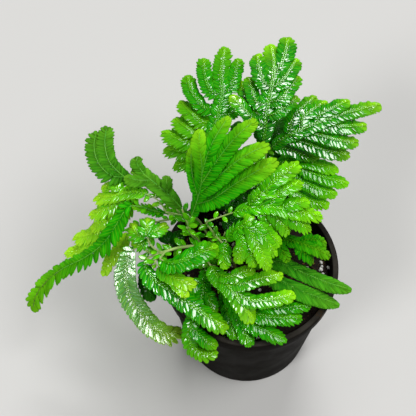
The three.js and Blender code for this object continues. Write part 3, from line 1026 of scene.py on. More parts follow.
ARCHED = Habit(
    patterns=(
        LeafPattern(widest=0.55, foot=0.75, cup=0.05, curl=0.08, blunt=0.9),
        LeafPattern(widest=0.5, foot=0.75, cup=0.06, curl=0.13, blunt=0.8),
        LeafPattern(widest=0.55, foot=0.75, cup=0.03, curl=0.05, blunt=0.9),
    ),
    droop=9.0,
    shingle=9.0,
    twist=6.0,
)
POINTED = Habit(
    patterns=(
        LeafPattern(widest=0.45, foot=0.75, cup=0.05, curl=0.04, blunt=0.3),
        LeafPattern(widest=0.38, foot=0.75, cup=0.07, curl=0.1, blunt=0.1),
    ),
    droop=9.0,
    shingle=8.0,
    twist=6.0,
)
LIFTED = Habit(
    patterns=(
        LeafPattern(widest=0.5, foot=0.65, cup=0.01, curl=0.0, blunt=0.75, groove=0.01),
        LeafPattern(widest=0.5, foot=0.65, cup=0.02, curl=0.03, blunt=0.65, groove=0.01),
    ),
    droop=-4.0,
    shingle=2.0,
    twist=3.0,
)
FLAT = Habit(
    patterns=(
        LeafPattern(widest=0.55, foot=0.8, cup=0.02, curl=0.03, groove=0.02, blunt=0.9),
        LeafPattern(widest=0.5, foot=0.8, cup=0.03, curl=0.06, groove=0.02, blunt=0.8),
    ),
    droop=9.0,
    shingle=6.0,
    twist=2.0,
)


SCALE_LEAVES: tuple[LeafPattern, ...] = (
    LeafPattern(6, 4, widest=0.35, foot=0.6, blunt=0.3, cup=0.05, curl=0.03, thickness=0.06),
    LeafPattern(6, 4, widest=0.3, foot=0.7, blunt=0.4, cup=0.08, curl=0.1, thickness=0.06),
)
SINGLE_LEAVES: tuple[LeafPattern, ...] = (
    LeafPattern(8, 6, widest=0.5, foot=0.35, blunt=0.7, cup=0.05, curl=0.06, thickness=0.03),
    LeafPattern(8, 6, widest=0.45, foot=0.4, blunt=0.6, cup=0.07, curl=0.12, thickness=0.03),
)


class LeafBank:
    """The few leaf shapes that all leaves are copies of."""

    def __init__(self) -> None:
        """Make the shapes."""
        self.rows = {
            habit: self._meshes("row_leaf", habit.patterns)
            for habit in (ARCHED, POINTED, LIFTED, FLAT)
        }
        self.scales = self._meshes("scale_leaf", SCALE_LEAVES)
        self.single = self._meshes("single_leaf", SINGLE_LEAVES)

    @staticmethod
    def _meshes(name: str, patterns: Iterable[LeafPattern]) -> list[Mesh]:
        """Return the meshes of some leaf shapes."""
        return [pattern.mesh(f"{name}_{number}") for number, pattern in enumerate(patterns)]


class Gathering:
    """A mesh that many small shapes are gathered in, with the numbers that they carry.

    Copies go into a small mesh, which is put by when it is full, because adding to a large
    mesh is slow.

    Attributes:
        full_size: Number of corners at which a small mesh is full.
    """

    full_size: int = 3000

    def __init__(self) -> None:
        """Start with an empty mesh."""
        self.put_by: list[Mesh] = []
        self._start()

    def _start(self) -> None:
        """Start the next small mesh."""
        self.bm = bmesh.new()
        self.young = self.bm.verts.layers.float.new(YOUNG)
        self.tint = self.bm.verts.layers.float.new(TINT)

    def add(
        self, shape: Mesh, place: Matrix, young: float, tint: float, finish: int = 0
    ) -> None:
        """Add a copy of a shape.

        Args:
            shape: The shape.
            place: Its place, turn and size.
            young: How young and pale it is, from 0 to 1.
            tint: How bright it is, from 0 to 1.
            finish: Material number of its faces.
        """
        first = len(self.bm.verts)
        first_face = len(self.bm.faces)
        self.bm.from_mesh(shape)
        self.bm.verts.ensure_lookup_table()
        fresh = self.bm.verts[first:]
        bmesh.ops.transform(self.bm, matrix=place, verts=fresh)
        for vert in fresh:
            vert[self.young] = young
            vert[self.tint] = tint
        if finish:
            self.bm.faces.ensure_lookup_table()
            for face in self.bm.faces[first_face:]:
                face.material_index = finish
        if len(self.bm.verts) > self.full_size:
            self.put_by.append(stored("batch", self.bm))
            self._start()

    def whole(self) -> bmesh.types.BMesh:
        """Put everything that was gathered into one mesh.

        Returns:
            The mesh.
        """
        for mesh in self.put_by:
            self.bm.from_mesh(mesh)
            bpy.data.meshes.remove(mesh)
        return self.bm


def leaf_place(
    foot: Vector, toward: Vector, face: Vector, tilt: float, width: float, length: float
) -> Matrix:
    """Return the place, turn and size of a leaf.

    Args:
        foot: Where it is attached, in mm.
        toward: Direction of its tip.
        face: Direction that its face looks in, more or less.
        tilt: Turn about its own length, in degrees.
        width: Its width in mm.
        length: Its length in mm.

    Returns:
        The matrix for a leaf of unit size.
    """
    toward = toward.normalized()
    out = (face - toward * face.dot(toward)).normalized()
    out = Matrix.Rotation(math.radians(tilt), 3, toward) @ out
    across = toward.cross(out)
    turn = Matrix((across * width, toward * length, out * length)).transposed()
    return Matrix.Translation(foot) @ turn.to_4x4()


# Sprays


class Look(Enum):
    """The kinds of leaf on the plant, each with its surface and the way that it grows."""

    WET = (WET_LEAF, ARCHED)
    SOAKED = (SOAKED_SHEEN_LEAF, LIFTED)
    FRESH = (FRESH_LEAF, ARCHED)
    FRINGED = (FRESH_LEAF, POINTED)
    PALE = (PALE_LEAF, POINTED)
    MATTE = (MATTE_LEAF, FLAT)
    PLAIN = (MATTE_LEAF, POINTED)
    DULL = (DULL_LEAF, FLAT)
    # The low sprays' dark leaves: painted shade.
    OLD = (PAINTED_SHADE_LEAF, ARCHED)

    @property
    def finish(self) -> LeafFinish:
        """Return its surface."""
        return self.value[0]

    @property
    def habit(self) -> Habit:
        """Return the way that it grows."""
        return self.value[1]


class Shown(Enum):
    """Which side of a spray looks up, as the turn of its face."""

    FACE = 1.0
    BACK = -1.0


@dataclass(frozen=True)
class Branch:
    """One leafy branch of a spray.

    Attributes:
        wide: Width across its leaves in mm.
        route: Points that it runs through, as `Sight.seen` takes them.
        start: Share of the spray's axis where it leaves the axis.
        bare: Length of stem before its first leaves, in mm.
        leaf_share: Width of its leaves as a share of the spray's.
        ripe: Youth that its leaves have beyond that of the spray's others.
    """

    wide: float
    route: tuple[PixelPoint, ...]
    start: float = 0.0
    bare: float = 0.0
    leaf_share: float = 1.0
    ripe: float = 0.0


# Width of a branch at its foot, as a share of its greatest, and the share of its leafy
# length in which it widens.
BRANCH_FOOT = 0.55
FOOT_SHARE = 0.2

# Length at a branch's tip that only leaves reach, as a share of its width.
TIP_LEAVES = 0.42

# Thickness of a side branch's stem beside the axis, and of a stem seen from its back.
SIDE_STEM = 0.75
SUNK_STEM = 0.5


@dataclass(frozen=True)
class Growth:
    """What the leaves of one piece are made with.

    Attributes:
        foliage: Mesh that takes the leaves.
        bank: The leaf shapes.
        chance: Source of the small differences.
    """

    foliage: Gathering
    bank: LeafBank
    chance: random.Random


@dataclass(frozen=True)
class LeafSpot:
    """A place on a branch where a broad leaf and its small leaf grow.

    Attributes:
        branch: The branch.
        facing: Directions of the branch there.
        foot: The place itself, in mm.
        hand: Side of the branch, -1 or 1.
        at: Distance from the branch's first leaves in mm.
        leafy: Leafy length of the branch in mm.
        young: How young the leaves are, from 0 to 1.
        bright: How bright they are, from 0 to 1: partly their own tone, partly painted light.
    """

    branch: Branch
    facing: Facing
    foot: Vector
    hand: float
    at: float
    leafy: float
    young: float
    bright: float


# Slope of a stem, as the sine of its angle off upright, below which its sides are level
# from left to right.
UPRIGHT = 0.2


@dataclass(frozen=True)
class Twig:
    """A bare stem with single leaves along it, on one side and then on the other.

    The swing is in radians, lean and tilt are in degrees, and a foot stands `off` mm off.

    Attributes:
        pitch: Distance between two leaves in mm.
        length: Length of a leaf in mm.
        width: Width of a leaf in mm.
        young: Least and greatest youth of a leaf, from 0 to 1.
        lean: Least and greatest angle of a leaf off the stem, in degrees.
        size: Least and greatest size of a leaf, as a share of its full size.
        gap: Least and greatest gap between two leaves, as a share of the pitch.
    """

    pitch: float = 1.7
    length: float = 2.7
    width: float = 1.6
    young: Range = (0.1, 0.4)
    swing: float = 0.7
    lean: Range = (48.0, 68.0)
    tilt: float = 18.0
    size: Range = (0.8, 1.1)
    gap: Range = (0.75, 1.25)
    off: float = 0.2

    def leaf_out(self, growth: Growth, course: Course, stretch: Range, finish: int) -> None:
        """Set single leaves along a stem.

        Args:
            growth: What the leaves are made with.
            course: Line of the stem.
            stretch: Where its leaves start and end, in mm along it.
            finish: Material number of the leaves.
        """
        chance = growth.chance
        at, end = stretch
        hand = 1.0
        while at < end:
            along = course.along(at)
            level = along.cross(SKYWARD)
            side = level.normalized() if level.length > UPRIGHT else RIGHTWARD
            side = Matrix.Rotation(chance.uniform(-self.swing, self.swing), 3, along) @ side
            lean = math.radians(chance.uniform(*self.lean))
            face = side.cross(along) * (0.5 if side.cross(along).z > 0 else -0.5)
            size = chance.uniform(*self.size)
            place = leaf_place(
                course.point(at) + side * (hand * self.off),
                along * math.cos(lean) + side * (hand * math.sin(lean)),
                face + SKYWARD,
                chance.uniform(-self.tilt, self.tilt),
                self.width * size,
                self.length * size,
            )
            shape = chance.choice(growth.bank.single)
            young = chance.uniform(*self.young)
            growth.foliage.add(shape, place, young, chance.random(), finish)
            at += self.pitch * chance.uniform(*self.gap)
            hand = -hand


@dataclass(frozen=True)
class Spray:
    """A flat, fern-like spray: an axis and side branches, clothed in leaves.

    The fields named scale shape the small leaves that lie along the stem: their angles are
    in degrees, their lift and sink in mm, and the others are shares.

    Attributes:
        name: What it is called.
        look: Kind of leaf surface.
        branches: Its branches, the axis first.
        shown: Which side looks up.
        young: How young the leaves are at the foot and at the tips of its branches.
        pitch: Distance between two leaves of a row in mm.
        leaf_width: Width of a leaf in mm.
        lean: Angle of its leaves off the stem, in degrees.
        untidy: Spread of the leaves' angles, in degrees.
        bright: Brightness of its leaves, from 0 to 1: partly their own tone, partly painted light
            that lifts sprays lying in shade or facing away from the lamps.
        taper: Length in which a branch narrows to its tip, as a share of its width.
        ripening: How late along a branch its leaves turn young, 1 being evenly.
        tip_lean: How much less the last leaves of a branch lean, from 0 to 1.
        bright_spread: How far a leaf's brightness departs from the spray's.
        stem_radius: Radius of the axis at its foot in mm.
        tip_radius: Radius of a stem at its tip in mm.
        foot_lift: How far a leaf's foot stands over the stem's middle, in mm.
        scale_share: Length of a small leaf, as a share of half the branch's width.
        twig: The single leaves before the first rows.
    """

    name: str
    look: Look
    branches: tuple[Branch, ...]
    shown: Shown = Shown.FACE
    young: Range = (0.1, 0.8)
    pitch: float = 1.15
    leaf_width: float = 1.9
    lean: float = 50.0
    untidy: float = 3.0
    bright: float = 0.5
    taper: float = 0.7
    ripening: float = 2.2
    uneven: float = 0.012
    tip_lean: float = 0.75
    least_lean: float = 0.05
    least_width: float = 0.7
    bright_spread: float = 0.25
    stem_radius: float = 0.28
    tip_radius: float = 0.12
    foot_lift: float = 0.12
    scale_share: float = 0.46
    scale_size: Range = (0.9, 1.1)
    scale_width: float = 0.62
    scale_lean: float = 20.0
    scale_tilt: float = 8.0
    scale_rise: float = 0.04
    scale_lift: float = 0.3
    scale_sink: float = 0.08
    scale_off: float = 0.02
    scale_young: float = 0.15
    twig: Twig = Twig(pitch=2.4)

    def courses(self) -> list[tuple[Branch, Course]]:
        """Lay out the branches.

        Returns:
            Each branch with the line that it follows, in mm.
        """
        axis = self.branches[0]
        spine = Course.through([SIGHT.seen(point) for point in axis.route])
        made = [(axis, spine)]
        for branch in self.branches[1:]:
            knots = [spine.point(branch.start * spine.length), *map(SIGHT.seen, branch.route)]
            made.append((branch, Course.through(knots)))
        return made

    def half_width(self, branch: Branch, leafy: float, at: float) -> float:
        """Return half the width of a branch at a place on its leafy length.

        Args:
            branch: The branch.
            leafy: Its leafy length in mm.
            at: Distance from the first leaves in mm.

        Returns:
            Half its width in mm, which closes in a blunt round tip.
        """
        foot = min(1.0, BRANCH_FOOT + (1 - BRANCH_FOOT) * at / (leafy * FOOT_SHARE))
        tip = self.taper * branch.wide
        past = min(max(0.0, (at - (leafy - tip)) / tip), 1.0)
        return 0.5 * branch.wide * foot * math.sqrt(1 - past * past)

    def reach(self, branch: Branch, leafy: float, at: float, lean: float) -> float:
        """Return the length of a leaf that ends on the outline of its branch.

        Args:
            branch: The branch.
            leafy: Its leafy length in mm.
            at: Distance from the first leaves to the leaf's foot in mm.
            lean: Angle of the leaf off the stem in radians.

        Returns:
            The length in mm.
        """
        short, long = 0.0, branch.wide
        for _ in range(9):
            length = (short + long) / 2
            ahead = at + length * math.cos(lean)
            if length * math.sin(lean) < self.half_width(branch, leafy, ahead):
                short = length
            else:
                long = length
        return short

    def build(
        self, bank: LeafBank, leaf: Material, stem: Material
    ) -> Object:
        """Make the spray.

        Args:
            bank: The leaf shapes.
            leaf: Material of the leaves.
            stem: Material of the stems.

        Returns:
            The piece that stands for the spray's solid.
        """
        growth = Growth(Gathering(), bank, random.Random(self.name))
        for branch, course in self.courses():
            self.clothe(growth, branch, course)
            self.twig.leaf_out(growth, course, (0.3 * self.twig.pitch, branch.bare), finish=0)
        for branch, course in self.courses():
            thick = self.stem_radius * (1.0 if branch.start == 0.0 else SIDE_STEM)
            thick *= 1.0 if self.shown is Shown.FACE else SUNK_STEM
            draw_tube(
                growth.foliage.bm,
                course.shortened(TIP_LEAVES * branch.wide),
                radius=lambda share, thick=thick: thick + (self.tip_radius - thick) * share**0.5,
                sides=6,
                step=1.6,
                finish=1,
            )
        piece = finished(f"foliage_{self.name}", growth.foliage.whole(), [leaf, stem])
        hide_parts(f"spray_{self.name}")
        return piece

    def clothe(self, growth: Growth, branch: Branch, course: Course) -> None:
        """Set two rows of leaves and two rows of scale leaves along a branch.

        Args:
            growth: What the leaves are made with.
            branch: The branch.
            course: The line that it follows.
        """
        leafy = course.length - branch.bare
        count = max(3, round(leafy / self.pitch))
        for number in range(count):
            for hand in (-1.0, 1.0):
                share = (number + (0.25 if hand > 0 else 0.75)) / count
                at = (leafy - TIP_LEAVES * branch.wide) * share
                old, new = self.young
                young = branch.ripe + old + (new - old) * share**self.ripening
                spread = self.bright_spread
                spot = LeafSpot(
                    branch=branch,
                    facing=Facing.flat(course.along(branch.bare + at)),
                    foot=course.point(branch.bare + at),
                    hand=hand,
                    at=at,
                    leafy=leafy,
                    young=min(young, 1.0),
                    bright=self.bright + growth.chance.uniform(-spread, spread),
                )
                self.row_leaf(growth, spot)
                self.scale_leaf(growth, spot)

    def row_leaf(self, growth: Growth, spot: LeafSpot) -> None:
        """Add one leaf of the two broad rows.

        Args:
            growth: What the leaf is made with.
            spot: Where it grows.
        """
        branch, facing, chance = spot.branch, spot.facing, growth.chance
        habit = self.look.habit
        ending = max(0.0, 1 - (spot.leafy - TIP_LEAVES * branch.wide - spot.at) / branch.wide)
        lean = self.lean * (1 - self.tip_lean * ending**1.5) + chance.gauss(0.0, self.untidy)
        lean = max(math.radians(lean), self.least_lean)
        uneven = self.uneven * self.untidy
        length = self.reach(branch, spot.leafy, spot.at, lean)
        length *= chance.uniform(1 - uneven, 1 + uneven)
        droop = math.radians(habit.droop + chance.gauss(0.0, self.untidy))
        out = facing.along * math.cos(lean) + facing.side * (spot.hand * math.sin(lean))
        toward = out * math.cos(droop) - facing.up * math.sin(droop)
        tilt = spot.hand * (habit.shingle + chance.gauss(0.0, habit.twist))
        half = self.half_width(branch, spot.leafy, spot.at)
        fullness = self.least_width + (1 - self.least_width) * half / (0.5 * branch.wide)
        width = self.leaf_width * branch.leaf_share * fullness
        lift = self.foot_lift if self.shown is Shown.FACE else 0.0
        foot = spot.foot + facing.up * lift - facing.side * (spot.hand * 0.5 * lift)
        place = leaf_place(foot, toward, facing.up, tilt, width, length)
        shape = chance.choice(growth.bank.rows[habit])
        growth.foliage.add(shape, place, spot.young, spot.bright)

    def scale_leaf(self, growth: Growth, spot: LeafSpot) -> None:
        """Add one leaf of the two rows of small leaves that lie along the stem.

        Args:
            growth: What the leaf is made with.
            spot: Where the broad leaf beside it grows.
        """
        facing, chance = spot.facing, growth.chance
        half = self.half_width(spot.branch, spot.leafy, spot.at)
        length = half * self.scale_share * chance.uniform(*self.scale_size)
        out = facing.up * self.shown.value
        lean = math.radians(self.scale_lean + chance.gauss(0.0, self.untidy))
        flat = facing.along * math.cos(lean) + facing.side * (spot.hand * math.sin(lean))
        lift = self.scale_lift - self.scale_sink * spot.at / spot.leafy
        off = facing.side * (spot.hand * self.scale_off * half)
        place = leaf_place(
            spot.foot + out * lift + off,
            flat + out * self.scale_rise,
            out,
            spot.hand * self.scale_tilt,
            self.scale_width * length,
            length,
        )
        young = min(1.0, spot.young + self.scale_young)
        growth.foliage.add(chance.choice(growth.bank.scales), place, young, spot.bright)


# Rooted stems


@dataclass(frozen=True)
class Trunk:
    """A rooted stem and the arms that part from it to carry sprays.

    Attributes:
        name: What it is called.
        root: Where it leaves the compost, across and back, in mm.
        route: Points that it runs through, as `Sight.seen` takes them.
        carries: The sprays that it carries, each with the share of its length where the arm
            to that spray leaves it.
        radius: Its radius at its foot in mm.
        top_radius: Its radius where it meets its spray in mm.
        arm_radius: Radius of an arm at its foot in mm.
        collar: Height over which it leaves the compost upright, in mm.
        buried: Depth of its foot in the compost, in mm.
        arm_bend: How far an arm follows the trunk before it turns, as a share.
        twig: Its single leaves.
    """

    name: str
    root: tuple[float, float]
    route: tuple[PixelPoint, ...]
    carries: dict[str, float]
    radius: float = 0.6
    top_radius: float = 0.45
    arm_radius: float = 0.4
    collar: float = 2.4
    buried: float = 3.0
    arm_bend: float = 1 / 3
    first_leaf: float = 0.4
    last_leaf: float = 0.5
    twig: Twig = Twig(pitch=2.2, length=3.4, width=1.8)

    def courses(self, bed: "CompostBed", sprays: dict[str, Spray]) -> list[Course]:
        """Return the lines of the trunk and of its arms, in mm.

        Args:
            bed: The compost that it is rooted in.
            sprays: All sprays by name.

        Returns:
            The trunk's line, then the arms' lines.
        """
        x, y = self.root
        top = bed.height(x, y)
        foot = Vector((x, y, top - self.buried))
        collar = Vector((x, y, top + self.collar))
        trunk = Course.through([foot, collar, *map(SIGHT.seen, self.route)])
        above = trunk.length - self.buried
        made = [trunk]
        for name, share in self.carries.items():
            at = self.buried + above * share
            start = trunk.point(at)
            goal = SIGHT.seen(sprays[name].branches[0].route[0])
            knee = start + trunk.along(at) * ((goal - start).length * self.arm_bend)
            made.append(Course.bend(start, knee, goal))
        return made

    def build(
        self,
        bed: "CompostBed",
        sprays: dict[str, Spray],
        bank: LeafBank,
        stem: Material,
        leaf: Material,
    ) -> Object:
        """Make the stem, its arms and the single leaves along them.

        Args:
            bed: The compost that it is rooted in.
            sprays: All sprays by name.
            bank: The leaf shapes.
            stem: Material of the stem.
            leaf: Material of the leaves.

        Returns:
            The piece that stands for the stem's solid.
        """
        growth = Growth(Gathering(), bank, random.Random(self.name))
        courses = self.courses(bed, sprays)
        for course in courses:
            is_trunk = course is courses[0]
            thick = self.radius if is_trunk else self.arm_radius
            thin = self.top_radius if is_trunk else Spray.stem_radius
            draw_tube(
                growth.foliage.bm,
                course,
                radius=lambda share, thick=thick, thin=thin: thick + (thin - thick) * share,
                sides=8,
                step=0.9,
            )
            first = self.buried + self.collar if is_trunk else self.first_leaf * self.twig.pitch
            self.twig.leaf_out(growth, course, (first, course.length - self.last_leaf), finish=1)
        piece = finished(f"stalk_{self.name}", growth.foliage.whole(), [stem, leaf])
        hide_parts(f"stem_{self.name}")
        return piece


# Pot and compost


@dataclass(frozen=True)
class Pot:
    """The round nursery pot: a thin tapering wall with a stepped lip and drain holes.

    Its sizes are in mm. Edges sharper than `sharp` degrees are rounded by `edge_round`, and
    those sharper than `crisp` degrees are shaded as corners.
    """

    rim_radius: float = 27.5
    height: float = 48.0
    base_radius: float = 21.2
    wall: float = 1.0
    base_thickness: float = 1.5
    base_bevel: float = 0.7
    lip_depth: float = 5.0
    lip_step: float = 0.9
    lip_taper: float = 0.3
    rim_round: float = 0.5
    rim_chamfer: float = 0.2
    drain_radius: float = 2.0
    drain_ring_radius: float = 14.0
    drain_count: int = 5
    drain_sides: int = 32
    steps: int = 128
    sharp: float = 18.0
    crisp: float = 40.0
    edge_round: float = 0.16

    def outer_radius(self, height: float) -> float:
        """Return the wall's outer radius at a height below the lip, in mm."""
        top = self.rim_radius - self.lip_step
        return self.base_radius + (top - self.base_radius) * height / self.height

    def outline(self) -> list[tuple[float, float]]:
        """Return the wall's outline, from the middle of the underside round to the floor's.

        Returns:
            Its corners as radius and height in mm.
        """
        lip_foot = self.height - self.lip_depth
        inner = self.outer_radius(self.height) - self.wall
        return [
            (0.0, 0.0),
            (self.base_radius - self.base_bevel, 0.0),
            (self.base_radius, self.base_bevel),
            (self.outer_radius(lip_foot), lip_foot),
            (self.rim_radius - self.lip_taper, lip_foot),
            (self.rim_radius, self.height - self.rim_round),
            (self.rim_radius - self.rim_round, self.height),
            (inner + self.rim_chamfer, self.height),
            (inner, self.height - self.rim_round),
            (self.base_radius - self.wall, self.base_thickness),
            (0.0, self.base_thickness),
        ]

    def build(self, plastic: Material) -> Object:
        """Make the pot.

        Args:
            plastic: Its material.

        Returns:
            The piece that stands for the pot's solid.
        """
        bm = bmesh.new()
        turn_outline(bm, self.outline(), self.steps)
        limit = math.radians(self.sharp)
        edges = [edge for edge in bm.edges if edge.calc_face_angle(0.0) > limit]
        bmesh.ops.bevel(
            bm,
            geom=edges,
            offset=self.edge_round,
            affect="EDGES",
            segments=3,
            profile=0.5,
            material=-1,
        )
        smoothed(bm)
        piece = finished("nursery_pot", bm, [plastic])
        self.drill(piece)
        piece.data.set_sharp_from_angle(angle=math.radians(self.crisp))
        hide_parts("pot")
        return piece

    def drill(self, piece: Object) -> None:
        """Cut the drain holes through the pot's base.

        Args:
            piece: The pot.
        """
        bm = bmesh.new()
        for hole in range(self.drain_count):
            angle = 2 * math.pi * hole / self.drain_count
            across = self.drain_ring_radius * math.cos(angle)
            back = self.drain_ring_radius * math.sin(angle)
            bmesh.ops.create_cone(
                bm,
                cap_ends=True,
                segments=self.drain_sides,
                radius1=self.drain_radius,
                radius2=self.drain_radius,
                depth=3 * self.base_thickness,
                matrix=Matrix.Translation((across, back, 0.0)),
            )
        bmesh.ops.scale(bm, vec=(METRES, METRES, METRES), verts=bm.verts)
        drill = shown("drains", stored("drains", bm))
        cut = piece.modifiers.new("drains", "BOOLEAN")
        cut.operation = "DIFFERENCE"
        cut.object = drill
        cut.solver = "EXACT"
        evaluated = piece.evaluated_get(bpy.context.evaluated_depsgraph_get())
        shaped = bpy.data.meshes.new_from_object(evaluated)
        piece.modifiers.clear()
        piece.data = shaped
        shaped.name = piece.name
        bpy.data.objects.remove(drill)


def turn_outline(
    bm: bmesh.types.BMesh, outline: Iterable[tuple[float, float]], steps: int
) -> None:
    """Turn an outline about the upright axis into a closed surface that faces outwards.

    Args:
        bm: Mesh that takes the surface.
        outline: Its corners as radius and height in mm, both ends on the axis.
        steps: Number of steps round.
    """
    verts = [bm.verts.new((radius, 0.0, height)) for radius, height in outline]
    edges = [bm.edges.new(pair) for pair in zip(verts, verts[1:])]
    bmesh.ops.spin(
        bm,
        geom=[*verts, *edges],
        cent=(0.0, 0.0, 0.0),
        axis=(0.0, 0.0, 1.0),
        angle=2 * math.pi,
        steps=steps,
        use_merge=True,
    )
    bmesh.ops.remove_doubles(bm, verts=bm.verts, dist=0.001)
    bmesh.ops.recalc_face_normals(bm, faces=bm.faces)


@dataclass(frozen=True)
class CompostBed:
    """The compost: a low lumpy crown that fills the pot, with crumbs, grains and fibres on it.

    Its sizes are in mm and its turns in radians. Across, along and slant shape two patterns
    of waves that make its lumps. Pairs are the least and the greatest value.
    """

    pot: Pot
    level: float = 42.6
    crown: float = 1.6
    lump: float = 0.45
    clearance: float = 0.4
    across: float = 0.55
    along: float = 0.6
    start: float = 1.3
    slant_across: float = -0.5
    slant_along: float = 0.9
    slant_share: float = 0.6
    rings: int = 26
    steps: int = 90
    grain: float = 0.5
    grain_scale: float = 0.9
    strewn_share: float = 0.97
    crumbs: int = 1500
    crumb_rough: float = 0.35
    crumb_lift: float = 0.12
    grains: int = 70
    grain_rough: float = 0.22
    grain_size: Range = (0.5, 1.5)
    grain_lift: float = 0.25
    seen_lift: float = 0.3
    fibres: int = 90
    fibre_thick: Range = (0.06, 0.14)
    fibre_bend: float = 0.7
    fibre_stride: Range = (0.8, 2.0)
    fibre_lift: Range = (0.1, 0.6)
    fibre_edge: float = 0.5

    def height(self, x: float, y: float) -> float:
        """Return the height of the compost's top at a place.

        Args:
            x: Place across in mm.
            y: Place towards the back in mm.

        Returns:
            The height in mm.
        """
        reach = min(1.0, math.hypot(x, y) / self.pot.outer_radius(self.level))
        crossed = math.sin(self.across * x + self.start) * math.cos(self.along * y)
        slanted = math.sin(self.slant_along * y + self.slant_across * x)
        lumps = crossed + self.slant_share * slanted
        return self.level + (1 - reach * reach) * (self.crown + self.lump * lumps)

    def radius(self) -> float:
        """Return the radius of the compost's top in mm."""
        return self.pot.outer_radius(self.level) - self.pot.wall - self.clearance

    def build_bed(self, finish: Material) -> Object:
        """Make the body of the compost.

        Args:
            finish: Its material.

        Returns:
            The piece that stands for the compost's solid.
        """
        foot = self.pot.base_thickness + self.clearance
        foot_radius = self.pot.outer_radius(foot) - self.pot.wall - self.clearance
        outline = [(0.0, foot), (foot_radius, foot)]
        for ring in range(self.rings):
            outline.append((self.radius() * (1 - ring / self.rings), self.level))
        outline.append((0.0, self.level))
        bm = bmesh.new()
        turn_outline(bm, outline, self.steps)
        for vert in bm.verts:
            if vert.co.z > self.level - self.clearance:
                grain = noise.fractal(vert.co * self.grain_scale, 0.8, 2.0, 4)
                inside = 1 - min(1.0, math.hypot(vert.co.x, vert.co.y) / self.radius()) ** 6
                vert.co.z = self.height(vert.co.x, vert.co.y) + self.grain * grain * inside
        smoothed(bm)
        piece = finished("compost_body", bm, [finish])
        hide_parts("compost")
        return piece

    def strewn(self, chance: random.Random) -> Vector:
        """Pick a place on the compost's top.

        Args:
            chance: Source of the choice.

        Returns:
            The place in mm.
        """
        reach = self.radius() * math.sqrt(chance.random()) * self.strewn_share
        angle = chance.uniform(0.0, 2 * math.pi)
        x, y = reach * math.cos(angle), reach * math.sin(angle)
        return Vector((x, y, self.height(x, y)))

    @staticmethod
    def lumps(name: str, subdivisions: int, rough: float, count: int) -> list[Mesh]:
        """Make a few rough lumps of unit size.

        Args:
            name: Name of the lumps.
            subdivisions: Fineness of the ball that each starts from.
            rough: How far it departs from the ball.
            count: Number of lumps.

        Returns:
            The lumps.
        """
        made = []
        noise.seed_set(NOISE_SEED)
        for number in range(count):
            bm = bmesh.new()
            bmesh.ops.create_icosphere(bm, subdivisions=subdivisions, radius=0.5)
            for vert in bm.verts:
                bend = noise.noise_vector(vert.co * 2.3 + Vector((9.1 * number, 3.7, 1.9)))
                vert.co += bend * rough
            if subdivisions > 1:
                smoothed(bm)
            made.append(stored(f"{name}_{number}", bm))
        return made

    def build_crumbs(self, finish: Material) -> Object:
        """Strew crumbs of compost over the bed.

        Args:
            finish: Their material.

        Returns:
            The piece.
        """
        chance = random.Random("crumbs")
        heap = Gathering()
        shapes = self.lumps("crumb", 1, self.crumb_rough, 6)
        for _ in range(self.crumbs):
            size = 0.35 + 1.1 * chance.random() ** 2.5
            place = self.strewn(chance) + Vector((0.0, 0.0, self.crumb_lift * size))
            turn = Matrix.Translation(place) @ random_turn(chance)
            wide, high = chance.uniform(0.6, 1.0), chance.uniform(0.4, 0.8)
            squash = Matrix.Diagonal((size, size * wide, size * high, 1.0))
            heap.add(chance.choice(shapes), turn @ squash, 0.0, chance.random())
        piece = finished("compost_crumbs", heap.whole(), [finish])
        return piece

    def build_grains(self, finish: Material) -> Object:
        """Strew white perlite grains over the bed.

        Args:
            finish: Their material.

        Returns:
            The piece.
        """
        chance = random.Random("grains")
        heap = Gathering()
        shapes = self.lumps("grain", 2, self.grain_rough, 4)
        for number in range(self.grains):
            size = chance.uniform(*self.grain_size)
            place = self.strewn(chance) + Vector((0.0, 0.0, self.grain_lift * size))
            if number < len(SEEN_GRAINS):
                place = SIGHT.seen(SEEN_GRAINS[number])
                place.z = self.height(place.x, place.y) + self.seen_lift * size
            squash = Matrix.Diagonal((size, size * 0.85, size * 0.75, 1.0))
            shape = chance.choice(shapes)
            turn = Matrix.Translation(place) @ random_turn(chance)
            heap.add(shape, turn @ squash, 0.0, chance.random())
        piece = finished("perlite_grains", heap.whole(), [finish])
        return piece

    def build_fibres(self, finish: Material) -> Object:
        """Lay thin root and husk fibres over the bed.

        Args:
            finish: Their material.

        Returns:
            The piece.
        """
        chance = random.Random("fibres")
        heap = Gathering()
        for _ in range(self.fibres):
            knots = [self.strewn(chance) * 0.93]
            heading = chance.uniform(0.0, 2 * math.pi)
            for _ in range(3):
                heading += chance.uniform(-self.fibre_bend, self.fibre_bend)
                ahead = Vector((math.cos(heading), math.sin(heading), 0.0))
                knots.append(knots[-1] + ahead * chance.uniform(*self.fibre_stride))
            reach = self.radius() - self.fibre_edge
            for knot in knots:
                if math.hypot(knot.x, knot.y) > reach:
                    knot.xy = knot.xy.normalized() * reach
                knot.z = self.height(knot.x, knot.y) + chance.uniform(*self.fibre_lift)
            thick = chance.uniform(*self.fibre_thick)
            draw_tube(
                heap.bm,
                Course.through(knots, 4),
                radius=lambda share, thick=thick: thick * (1 - 0.5 * share),
                sides=4,
                step=0.8,
            )
        piece = finished("compost_fibres", heap.whole(), [finish])
        return piece


# Perlite grains between the sprays, as `Sight.seen` takes them.
SEEN_GRAINS: tuple[PixelPoint, ...] = (
    (321, 263, 43), (322, 267, 43), (321, 270, 43), (323, 274, 43), (307, 268, 43),
    (312, 262, 43), (317, 256, 43), (329, 268, 43), (308, 309, 43), (315, 305, 43),
)


def random_turn(chance: random.Random) -> Matrix:
    """Return a turn by any angle about any axis."""
    axis = Vector((chance.uniform(-1, 1), chance.uniform(-1, 1), chance.uniform(-1, 1)))
    return Matrix.Rotation(chance.uniform(0.0, 2 * math.pi), 4, axis.normalized())


# The plant's own sprays and stems


